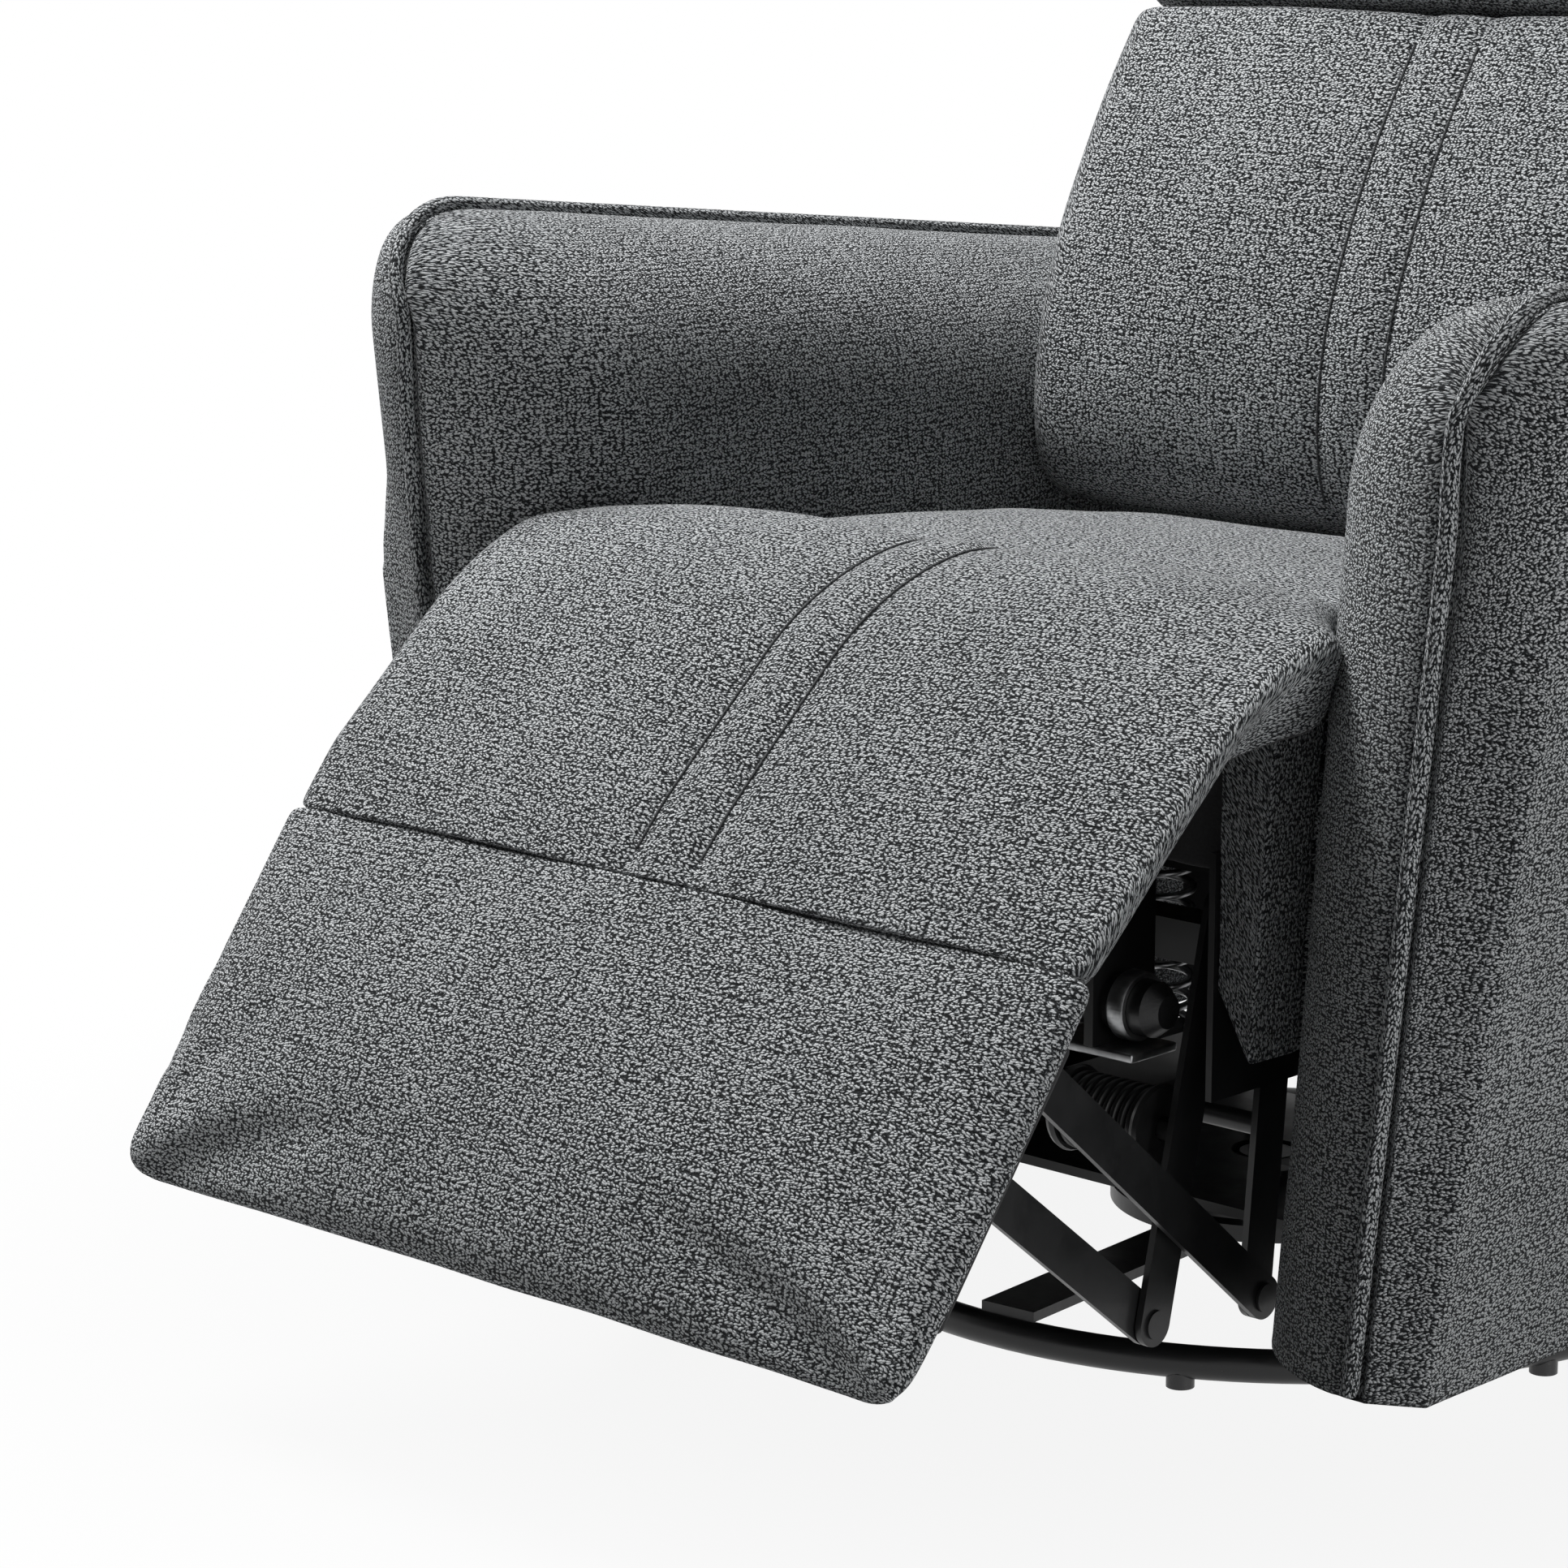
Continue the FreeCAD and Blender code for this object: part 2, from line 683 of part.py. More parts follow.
def side_plates():
    bolts = []
    for side in SIDES:
        low = (low_x(side, "side_plate_inner", "side_plate_thickness"), "-side_plate_front", "beam_bottom")
        blank = box("side_plate_blank", low,
                    ("side_plate_thickness", PLATE_LENGTH, "side_plate_top - beam_bottom"))
        holes = [span_x("pivot_hole", side, at, "link_pin_radius", "side_plate_inner", PLATE_OUTER)
                 for at in (REAR_PIVOT, FRONT_PIVOT)]
        for at in plate_bolt_points():
            holes.append(span_x("bolt_hole", side, at, "plate_bolt_radius", "side_plate_inner", PLATE_OUTER))
            shank = span_x("plate_shank", side, at, "plate_bolt_radius", "side_plate_inner", PLATE_OUTER)
            head = span_x("plate_head", side, at, "bolt_head_radius",
                          "(side_plate_inner - bolt_head_height)", "side_plate_inner")
            bolts.append(fuse("plate_bolt", [shank, head]))
        node(side_name("side_plate", side), cut("side_plate_drilled", blank, group("plate_holes", holes)))
    node("side_plate_bolts", group("plate_bolt_set", bolts))


def seat_box():
    """Wooden rails round the seat; the outer faces of the long rails follow the lean of the arms."""
    for side in SIDES:
        def across(text):
            return text if side == RIGHT else f"(-{text})"

        def arm_face(height):
            return across(f"(arm_inner + arm_inner_lean * ({height} - arm_bottom) - soft_gap)")

        inner = across(RAIL_INNER)
        corners = ((inner, "box_bottom"), (arm_face("box_bottom"), "box_bottom"),
                   (arm_face("box_top"), "box_top"), (inner, "box_top"))
        rail = prism(side_name("rail", side), "XZ_Plane", corners, "side_rail_front + side_rail_back")
        place(rail, y="side_rail_back")
        if side == LEFT:
            bore = span_x("rail_bore", side, LEVER_HUB, "lever_shaft_radius + running_clearance",
                          PLATE_OUTER, "arm_outer")
            rail = cut("rail_bored", rail, bore)
        node(side_name("side_rail", side), rail)
    reach = "(side_plate_inner - contact_gap)"
    for name, middle in (("front_rail", "-front_rail_forward"), ("rear_rail", "rear_rail_back")):
        node(name, box(name, (f"-{reach}", f"{middle} - cross_rail_depth / 2", "cross_rail_bottom"),
                       (f"2 * {reach}", "cross_rail_depth", "box_top - cross_rail_bottom")))


def zigzag(x, height, start, end, reach):
    """A level zigzag wire path from front to back: straight runs across joined by half circles."""
    step = (end - start) / ZIGZAG_RUNS
    bend = step / 2
    edges = []
    for index in range(ZIGZAG_RUNS + 1):
        y = start + step * index
        way = 1 if index % 2 == 0 else -1
        left = Vector(x - way * reach, y, height)
        right = Vector(x + way * reach, y, height)
        edges.append(Part.LineSegment(left, right).toShape())
        if index < ZIGZAG_RUNS:
            crest = Vector(right.x + way * bend, y + bend, height)
            edges.append(Part.Arc(right, crest, Vector(right.x, y + step, height)).toShape())
    return edges


def seat_springs():
    wire = value("seat_wire")
    height = value("box_top + contact_gap + seat_wire")
    inset = value("cross_rail_depth / 2 - zigzag_margin")
    start = -value("front_rail_forward") - inset
    end = value("rear_rail_back") + inset
    wires = []
    for index in range(SEAT_WIRES):
        x = (index - (SEAT_WIRES - 1) / 2) * value("wire_spacing")
        edges = zigzag(x, height, start, end, value("zigzag_reach"))
        first = edges[0].Vertexes[0].Point
        section = Part.Wire(Part.Circle(first, Vector(1, 0, 0), wire).toShape())
        path = Part.Wire(edges)
        wires.append(path.makePipeShell([section], True, False))
        bend = math.pi * (end - start) / ZIGZAG_RUNS / 2
        print("seat wire, least gap to itself", round(self_gap(path, wire, bend), 2), "mm")
    node("seat_springs", feature("seat_spring_set", Part.makeCompound(wires)))


def front_tube():
    length = "2 * tube_half_length"
    outer = rod_x("tube_outer", TUBE, "tube_radius", "-tube_half_length", length)
    inner = rod_x("tube_inner", TUBE, "tube_radius - tube_wall", "-tube_half_length", length)
    node("front_tube", cut("front_tube_hollow", outer, inner))
    caps = []
    hangers = []
    for side in SIDES:
        plug = span_x("cap_plug_rod", side, TUBE, "tube_radius - tube_wall",
                      "(tube_half_length - cap_plug)", "tube_half_length")
        dome = make("Part::Cone", "cap_dome", Radius1="tube_radius", Radius2="cap_top_radius",
                    Height="cap_rise")
        dome.Placement.Rotation = FreeCAD.Rotation(Vector(0, 1, 0), 90 * side)
        start = "tube_half_length" if side == RIGHT else "-tube_half_length"
        place(dome, start, f"-{TUBE[0]}", "tube_height")
        caps.append(fuse("tube_cap", [plug, dome]))
        low = (low_x(side, "hanger_station", "hanger_thickness"),
               f"-({TUBE[0]} + tube_radius + hanger_lip)", "tube_height - hanger_drop")
        plate = box("hanger_plate", low, ("hanger_thickness", "tube_radius + hanger_lip + hanger_depth",
                                          "cross_rail_bottom - tube_height + hanger_drop"))
        hole = span_x("hanger_hole", side, TUBE, "tube_radius",
                      "hanger_station", "(hanger_station + hanger_thickness)")
        hangers.append(cut("tube_hanger", plate, hole))
    node("tube_caps", group("tube_cap_pair", caps))
    node("tube_hangers", group("tube_hanger_pair", hangers))


def pivot_pin(name, side, at, inner, outer, head_inner=True, head_outer=False, collar=None):
    """A link pin with riveted heads and, where it crosses a gap, a collar."""
    pieces = [span_x(f"{name}_shaft", side, at, "link_pin_radius", inner, outer)]
    if head_inner:
        pieces.append(span_x(f"{name}_head", side, at, "pin_head_radius", f"({inner} - pin_head)", inner))
    if head_outer:
        pieces.append(span_x(f"{name}_head", side, at, "pin_head_radius", outer, f"({outer} + pin_head)"))
    if collar:
        pieces.append(span_x(f"{name}_collar", side, at, "pin_head_radius", *collar))
    return fuse(name, pieces)


def layer_end(layer):
    return f"({layer} + bar_thickness)"


def washer_gap(start, end):
    """The span of a collar that fills the room between two plates."""
    return f"({start} + contact_gap)", f"({end} - contact_gap)"


def bar_pair(name, layer, ends, bores):
    for side in SIDES:
        bar = link_bar(side_name(f"{name}_bar", side), low_x(side, layer, "bar_thickness"),
                       "bar_thickness", "bar_half_width", ends, bores)
        node(side_name(name, side), bar)


def along_link(pivot, knee, drop):
    """A point down a link at a distance from its pivot."""
    length = f"sqrt(({knee[0]} - {pivot[0]}) ^ 2 + ({knee[1]} - {pivot[1]}) ^ 2)"
    return (f"({pivot[0]} + ({knee[0]} - {pivot[0]}) * {drop} / {length})",
            f"({pivot[1]} + ({knee[1]} - {pivot[1]}) * {drop} / {length})")


def footrest_linkage():
    running = "link_pin_radius + running_clearance"
    bar_pair("rear_link", REAR_LINK_X, (REAR_PIVOT, REAR_KNEE), (running, "link_pin_radius"))
    bar_pair("front_link", FRONT_LINK_X, (FRONT_PIVOT, FRONT_KNEE), (running, "link_pin_radius"))
    bar_pair("rear_bar", REAR_BAR_X, (REAR_KNEE, REAR_PIN), (running, running))
    bar_pair("front_bar", FRONT_BAR_X, (FRONT_KNEE, FRONT_PIN),
             (running, "link_pin_radius + open_pivot_clearance"))
    node("sync_rod", rod_x("sync_rod", along_link(REAR_PIVOT, REAR_KNEE, "sync_rod_drop"), "rod_radius",
                           f"-{REAR_LINK_X}", f"2 * {REAR_LINK_X}"))
    node("tie_rod", rod_x("tie_rod", along_link(FRONT_PIVOT, FRONT_KNEE, "tie_rod_drop"), "rod_radius",
                          f"-{FRONT_LINK_X}", f"2 * {FRONT_LINK_X}"))
    seat_pins = []
    rear_knees = []
    front_knees = []
    for side in SIDES:
        for at, layer in ((REAR_PIVOT, REAR_LINK_X), (FRONT_PIVOT, FRONT_LINK_X)):
            seat_pins.append(pivot_pin("seat_pin", side, at, f"({layer} - contact_gap)", PLATE_OUTER,
                                       collar=washer_gap(layer_end(layer), "side_plate_inner")))
        rear_knees.append(pivot_pin("rear_knee_pin", side, REAR_KNEE, REAR_LINK_X,
                                    f"({layer_end(REAR_BAR_X)} + contact_gap)", head_outer=True))
        front_knees.append(pivot_pin("front_knee_pin", side, FRONT_KNEE, f"({FRONT_BAR_X} - contact_gap)",
                                     layer_end(FRONT_LINK_X), head_outer=True))
    node("link_pivot_pins", group("seat_pin_set", seat_pins))
    node("rear_knee_pins", group("rear_knee_set", rear_knees))
    node("front_knee_pins", group("front_knee_set", front_knees))


def panel_box(name, x, along, out, size):
    """A box in the footrest's own frame: along runs down the panel, out is the depth of its low face."""
    return box(name, (x, f"-({along} + {size[1]})", out), size)


def panel_pin(name, side, along, inner, outer, collar=None):
    at = (along, "(-pin_depth)")
    return pivot_pin(name, side, at, inner, outer, head_outer=True, collar=collar)


def footrest_panel():
    width = "2 * (panel_half_width - board_inset)"
    board = panel_box("board_blank", "-(panel_half_width - board_inset)", "board_margin",
                      UNDER_BOARD, (width, "(panel_length - board_margin - board_inset)", "board_thickness"))
    node("footrest_board", on_panel(group("board", [board])))

    pins = []
    for side in SIDES:
        depth = "(pin_depth + bracket_edge - panel_pad - board_thickness)"
        plate = panel_box("bracket_plate", low_x(side, REAR_LINK_X, "bar_thickness"),
                          "(rear_pin_along - bracket_end)", "-(pin_depth + bracket_edge)",
                          ("bar_thickness", "(front_pin_along - rear_pin_along + 2 * bracket_end)", depth))
        flange = panel_box("bracket_flange", low_x(side, REAR_LINK_X, "flange_width"),
                           "((rear_pin_along + front_pin_along - flange_length) / 2)",
                           f"{UNDER_BOARD} - flange_thickness",
                           ("flange_width", "flange_length", "flange_thickness"))
        holes = [span_x("bracket_hole", side, (along, "(-pin_depth)"), "link_pin_radius",
                        REAR_LINK_X, layer_end(REAR_LINK_X)) for along in ("rear_pin_along", "front_pin_along")]
        bracket = cut("bracket_drilled", fuse("bracket_bent", [plate, flange]), group("bracket_holes", holes))
        node(side_name("footrest_bracket", side), on_panel(group("bracket", [bracket])))
        pins.append(panel_pin("rear_panel_pin", side, "rear_pin_along", REAR_LINK_X,
                              f"({layer_end(REAR_BAR_X)} + contact_gap)"))
        pins.append(panel_pin("front_panel_pin", side, "front_pin_along", f"({FRONT_BAR_X} - contact_gap)",
                              layer_end(REAR_LINK_X), washer_gap(layer_end(FRONT_BAR_X), REAR_LINK_X)))
    node("footrest_pins", on_panel(group("footrest_pin_set", pins)))


def line(first, last):
    return Part.LineSegment(first, last).toShape()


def arc(first, middle, last):
    return Part.Arc(first, middle, last).toShape()


def cushion_section(spot, half_width, bottom, edge, crest, band=None, taper=0):
    """A closed cushion outline: flat underside, drawn-in sides and a crowned top.

    spot places a point from its X and its height. With a band, the top is two lobes beside a sewn band
    whose half width and height are given. A taper of 1 slants the sides in to a narrower underside.
    """
    tuck = half_width - value("side_tuck")
    low = tuck - taper * value("underside_inset")
    side = (tuck + low) / 2 + value("side_tuck") + taper * value("edge_bulge - side_tuck")
    low_right, low_left = spot(low, bottom), spot(-low, bottom)
    high_right, high_left = spot(tuck, edge), spot(-tuck, edge)
    middle = (bottom + edge) / 2
    edges = [line(low_left, low_right), arc(low_right, spot(side, middle), high_right)]
    if band:
        half_band, band_height = band
        lobe_x = (tuck + half_band) / 2
        inner_right, inner_left = spot(half_band, band_height), spot(-half_band, band_height)
        edges.append(arc(high_right, spot(lobe_x, crest), inner_right))
        edges.append(arc(inner_right, spot(0, band_height + value("band_rise")), inner_left))
        edges.append(arc(inner_left, spot(-lobe_x, crest), high_left))
    else:
        edges.append(arc(high_right, spot(0, crest), high_left))
    edges.append(arc(high_left, spot(-side, middle), low_left))
    return Part.Wire(edges)


def lofted(sections):
    return Part.makeLoft(sections, True, True)


def drawn_in(depth, reach):
    """Share of the way from a face to the seam at a depth behind the front, round a quarter ellipse."""
    return 1 - math.sqrt(1 - (1 - min(max(depth / reach, 0), 1)) ** 2)


def footrest_pad():
    """The footrest's crowned pad, in the panel's own frame: thin at its edges, thick over the board."""
    length = value("panel_length")
    crown = value("panel_crown")
    half = value("panel_half_width")
    board_end = 1 - value("board_inset / panel_length")
    stations = ((0.0, 1.6, 1.0), (0.08, 0.6, 1.0), (0.3, 0.1, 1.0), (0.6, 0.0, 1.0), (board_end, 0.1, 1.0),
                (0.93, 0.4, 0.72), (1.0, 1.3, 0.56))
    sections = []
    for share, sink, depth in stations:
        crest = -crown * sink
        bottom = -depth * value("panel_pad")
        y = -length * share
        sections.append(cushion_section(lambda x, n: Vector(x, y, n), half, bottom, crest - crown, crest, taper=1))
    node("footrest_pad", on_panel(feature("footrest_foam", lofted(sections))))


def pad_path(distance):
    """Forward, height and downward slope on the leg pad's top line at a distance from its rear edge."""
    flat = value("pad_flat")
    radius = value("pad_bend_radius")
    bend = math.radians(value("pad_bend_angle"))
    slope = min(max((distance - flat) / radius, 0), bend)
    rest = max(distance - flat - radius * bend, 0)
    forward = value(PAD_START) + min(distance, flat) + radius * math.sin(slope) + rest * math.cos(slope)
    height = value("pad_top") - radius * (1 - math.cos(slope)) - rest * math.sin(slope)
    return forward, height, slope


def pad_drop(bend_end):
    """Length of the pad's straight front, so that its lower edge ends just short of the footrest."""
    forward, height, slope = pad_path(bend_end)
    thick = value("pad_thickness")
    panel = math.radians(value("panel_angle"))
    ahead = value("crease_forward") - forward + thick * math.sin(slope)
    below = height - thick * math.cos(slope) - value("crease_height")
    room = ahead * math.cos(panel) + below * math.sin(panel) - value("soft_gap")
    return room / math.cos(panel - slope)


def pad_half(forward):
    """Half width of the leg pad: it follows the noses of the arms out to the width of the footrest."""
    height = value("pad_top - pad_thickness - arm_bottom")
    face = value("arm_inner") + value("arm_inner_lean") * height
    seam = value("arm_seam") + value("arm_seam_lean") * height
    inward = drawn_in(value("arm_front") - forward, value("arm_nose"))
    room = face + inward * (seam - face - value("arm_edge")) - value("nose_gap")
    return min(max(room, value("seat_half_width")), value("panel_half_width"))


def leg_pad():
    """The soft pad from the seat to the footrest, wider where it passes in front of the arms."""
    flat = value("pad_flat")
    radius = value("pad_bend_radius")
    bend = radius * math.radians(value("pad_bend_angle"))
    total = flat + bend + pad_drop(flat + bend)
    thick = value("pad_thickness")
    lobe = value("lobe_crown")
    dip = value("pad_end_dip")
    stations = [(0, 0.9), (0.5 * flat, 0.2), (flat, 0)]
    for share in (0.65, 0.45, 0.3, 0.17):
        beyond = value(f"arm_front - arm_nose * {share} - {PAD_START} - pad_flat")
        stations.append((flat + radius * math.asin(beyond / (radius - thick)), 0))
    stations += [(flat + bend, 0), (total - 3 * dip, 0), (total - dip, 0.35), (total, 1)]
    sections = []
    for distance, sink in stations:
        forward, height, slope = pad_path(distance)
        half = pad_half(forward - thick * math.sin(slope))
        taper = (half - value("seat_half_width")) / value("panel_half_width - seat_half_width")
        drop = sink * dip

        def spot(x, n):
            return Vector(x, -(forward + n * math.sin(slope)), height + n * math.cos(slope))

        sections.append(cushion_section(spot, half, -thick, -drop - lobe, lobe - drop,
                                        (value("stitch_half"), -drop), taper))
    node("leg_pad", feature("leg_pad_foam", lofted(sections)))


def seat_cushion():
    front = -value("seat_front")
    back = value("seat_back")
    bottom = value(SEAT_UNDERSIDE)
    crown = value("seat_crown")
    sections = []
    for share, sink in ((0, 1.4), (0.08, 0.4), (0.3, 0), (0.7, 0), (0.92, 0.4), (1, 1.6)):
        y = front + (back - front) * share
        top = value("seat_front_top") + (value("seat_back_top") - value("seat_front_top")) * share
        crest = top + crown * (0.5 - sink)
        sections.append(cushion_section(lambda x, z: Vector(x, y, z), value("seat_half_width"), bottom,
                                        crest - crown, crest))
    node("seat_cushion", feature("seat_foam", lofted(sections)))
    foam_front = f"({PAD_START} + foam_depth)"
    foam_top = "(pad_top - pad_thickness - soft_gap)"
    node("edge_foam", box("edge_foam", ("-seat_half_width", f"-{foam_front}", SEAT_UNDERSIDE),
                          ("2 * seat_half_width", "foam_depth", f"{foam_top} - {SEAT_UNDERSIDE}")))


def arm_section(y):
    """One upright slice of an arm on the +X side, as a closed wire."""
    front = -value("arm_front")
    bottom = value("arm_bottom")
    nose = value("arm_nose")
    corner = value("arm_corner")
    strip = value("arm_strip")
    from_front = y - front
    top = value("arm_top") - value("arm_top_fall") * max(from_front - corner, 0)
    if from_front < corner:
        top -= corner - math.sqrt(corner ** 2 - (corner - from_front) ** 2)
    inner_in = drawn_in(from_front, nose)
    outer_in = 1 - min(from_front / strip, 1)
    middle = value("(arm_back - arm_front) / 2")
    flare = value("arm_flare") * max(y - middle, 0) / (value("arm_back") - middle)
    lift = value("arm_edge") * (1 - min(from_front / strip, 1))

    def inner_x(z):
        face = value("arm_inner") + value("arm_inner_lean") * (z - bottom) + flare
        return face + inner_in * (seam_x(z) - face - value("arm_edge"))

    def seam_x(z):
        return value("arm_seam") + value("arm_seam_lean") * (z - bottom)

    def outer_x(z):
        face = value("arm_outer") + value("arm_outer_lean") * (z - bottom)
        return face - outer_in * (face - seam_x(z) - value("arm_edge"))

    roll_z = top - value("arm_roll") * (1 - 0.5 * inner_in)
    shoulder_z = top - value("arm_shoulder")
    low_inner = Vector(inner_x(bottom), y, bottom + lift)
    roll_start = Vector(inner_x(roll_z), y, roll_z)
    shoulder = Vector(outer_x(shoulder_z), y, shoulder_z)
    shoulder_share = value("arm_shoulder / (arm_roll + arm_shoulder)")
    ridge_x = shoulder.x - shoulder_share * (shoulder.x - roll_start.x)
    ridge = Vector(ridge_x, y, top)
    low_outer = Vector(outer_x(bottom), y, bottom + lift)
    half = math.sqrt(0.5)
    roll_middle = Vector(ridge.x - (ridge.x - roll_start.x) * half, y, roll_z + (top - roll_z) * half)
    shoulder_middle = Vector(ridge.x + (shoulder.x - ridge.x) * half, y, shoulder_z + (top - shoulder_z) * half)
    return Part.Wire([
        line(low_inner, roll_start),
        arc(roll_start, roll_middle, ridge),
        arc(ridge, shoulder_middle, shoulder),
        line(shoulder, low_outer),
        line(low_outer, low_inner),
    ])


def arms():
    front = -value("arm_front")
    back = value("arm_back")
    nose = value("arm_nose")
    corner = value("arm_corner")
    steps = [front + nose * share for share in (0, 0.04, 0.12, 0.22, 0.4, 0.65)]
    steps += [front + max(nose, corner), (front + back) / 2, back]
    solid = lofted([arm_section(y) for y in steps])
    mirrored = solid.mirror(Vector(0, 0, 0), Vector(1, 0, 0))
    node("arm_right", feature("arm_right_block", solid))
    block = feature("arm_left_block", mirrored)
    bore = span_x("arm_bore", LEFT, LEVER_HUB, "lever_shaft_radius + lever_bore_room", "arm_inner", LEVER_X)
    node("arm_left", cut("arm_left_bored", block, bore))


def back_hinges():
    plates = []
    pins = []
    straps = []
    for side in SIDES:
        plate = box("hinge_blank", (low_x(side, "side_plate_inner", "side_plate_thickness"),
                                    "hinge_back - hinge_plate_half", "hinge_height - hinge_plate_rise"),
                    ("side_plate_thickness", "2 * hinge_plate_half", "2 * hinge_plate_rise"))
        hole = span_x("hinge_hole", side, HINGE, "hinge_pin_radius", "side_plate_inner", PLATE_OUTER)
        plates.append(cut("hinge_plate", plate, hole))
        pins.append(span_x("hinge_pin", side, HINGE, "hinge_pin_radius", STRAP_X, PLATE_OUTER))
        strap_low = f"({HINGE_UP} - strap_end)"
        low = (low_x(side, STRAP_X, "bar_thickness"), f"{HINGE_DEPTH} - strap_half", strap_low)
        blank = box("strap_blank", low,
                    ("bar_thickness", "2 * strap_half", f"shell_bottom - plate_gap - {strap_low}"))
        bore = span_x("strap_bore", side, HINGE, "hinge_pin_radius + running_clearance",
                      UPRIGHT_OUTER, PLATE_OUTER)
        straps.append(cut("strap", on_back(group("strap_plate", [blank])), bore))
    node("back_hinge_plates", group("hinge_plate_pair", plates))
    node("back_hinge_pins", group("hinge_pin_pair", pins))
    node("back_straps", group("strap_pair", straps))


def back_frame():
    members = []
    for side in SIDES:
        low = (low_x(side, UPRIGHT_INNER, "upright_width"), BACK_FRONT, "-upright_down")
        members.append(box("upright", low, ("upright_width", "upright_depth", "upright_down + upright_up")))
    for bottom in ("0", "cushion_height - back_rail", "upright_up - back_rail"):
        members.append(box("back_rail_bar", (f"-{UPRIGHT_INNER}", BACK_FRONT, bottom),
                           (f"2 * {UPRIGHT_INNER}", "upright_depth", "back_rail")))
    node("back_frame", on_back(fuse("back_frame_joined", members)))

    height = "shell_top - shell_bottom"
    depth = f"{SHELL_REAR} + shell_wall - {BACK_FRONT}"
    walls = [box("shell_rear", ("-shell_half_width", SHELL_REAR, "shell_bottom"),
                 ("2 * shell_half_width", "shell_wall", height))]
    for side in SIDES:
        low = (low_x(side, "(shell_half_width - shell_wall)", "shell_wall"), BACK_FRONT, "shell_bottom")
        walls.append(box("shell_side", low, ("shell_wall", depth, height)))
    walls.append(box("shell_top", ("-shell_half_width", BACK_FRONT, "shell_top - shell_wall"),
                     ("2 * shell_half_width", depth, "shell_wall")))
    node("back_shell", on_back(fuse("back_shell_joined", walls)))


def cushion_bulge(height, crest, total, top_share=0):
    """How far a crowned cushion stands out at a height: an ellipse below its crest, a cosine above."""
    if height < crest:
        return math.sqrt(max(1 - ((crest - height) / crest) ** 2, 0))
    return top_share + (1 - top_share) * math.cos(math.pi / 2 * (height - crest) / (total - crest))


def back_section(height, half_width, depth, bulge, draw, band):
    def spot(x, n):
        return Vector(x, depth - n, height)

    top = depth + bulge
    return cushion_section(spot, half_width, 0, top - draw, top + (band * 0.6 if band else 0),
                           (value("stitch_half"), top) if band else None)


def back_cushions():
    total = value("cushion_height")
    crest = value("cushion_crest")
    depth = value("cushion_depth")
    lobe = value("lobe_crown")
    sections = []
    for share in (0, 0.05, 0.16, 0.4, 0.62, 0.8, 0.93, 1):
        height = total * share
        bulge = value("cushion_crown") * cushion_bulge(height, crest, total, value("cushion_top_share"))
        draw = lobe + value("cushion_side_fall") * bulge
        sections.append(back_section(height, value("cushion_half_width"), depth, bulge, draw, lobe))
    node("back_cushion", on_back(feature("back_foam", lofted(sections))))

    tall = value("pillow_height")
    start = total + value("pillow_gap")
    sections = []
    for share in (0, 0.05, 0.16, 0.38, 0.62, 0.82, 0.94, 1):
        bulge = value("pillow_crown") * cushion_bulge(tall * share, value("pillow_crest"), tall)
        draw = lobe + value("pillow_side_fall") * bulge
        height = start + tall * share
        sections.append(back_section(height, value("pillow_half_width"), depth, bulge, draw, None))
    node("headrest_pillow", on_back(feature("headrest_foam", lofted(sections))))


def rear_panel():
    half = f"({RAIL_INNER} + rear_panel_lap)"
    node("rear_panel", box("rear_panel", (f"-{half}", "side_rail_back + contact_gap", "rear_panel_bottom"),
                           (f"2 * {half}", "rear_panel_wall", "rear_panel_top - rear_panel_bottom")))


def release_lever():
    lever = link_bar("lever_bar", low_x(LEFT, LEVER_X, "lever_thickness"), "lever_thickness",
                     "lever_half_width", (LEVER_HUB, LEVER_TIP), ("lever_shaft_radius",))
    node("release_lever", lever)
    node("release_shaft", span_x("release_shaft", LEFT, LEVER_HUB, "lever_shaft_radius",
                                 f"({RAIL_INNER} + contact_gap)", f"({LEVER_X} + lever_thickness)"))


def build():
    base_ring_and_feet()
    base_cross()
    swivel_bearing()
    rocker_base()
    rocker_brackets()
    rocker_springs()
    rocker_yokes()
    cross_beams()
    side_plates()
    seat_box()
    seat_springs()
    front_tube()
    footrest_linkage()
    footrest_panel()
    footrest_pad()
    leg_pad()
    seat_cushion()
    arms()
    back_hinges()
    back_frame()
    back_cushions()
    rear_panel()
    release_lever()
    doc.recompute()


def check():
    for thing in doc.Objects:
        if "Invalid" in thing.State or "Error" in thing.State:
            raise RuntimeError(f"{thing.Name} failed: {thing.State}")
    for name, thing in NODES.items():
        if thing.Shape.isNull() or not thing.Shape.isValid():
            raise RuntimeError(f"{name} has no valid shape")


def write():
    os.makedirs("parts", exist_ok=True)
    for name, thing in NODES.items():
        thing.Shape.exportStep(f"parts/{name}.step")
        print(name, len(thing.Shape.Solids), round(thing.Shape.Volume / 1000, 1), "cm3")


build()
check()
write()
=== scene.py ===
import json
import math

import bmesh
import bpy
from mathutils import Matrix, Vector, noise


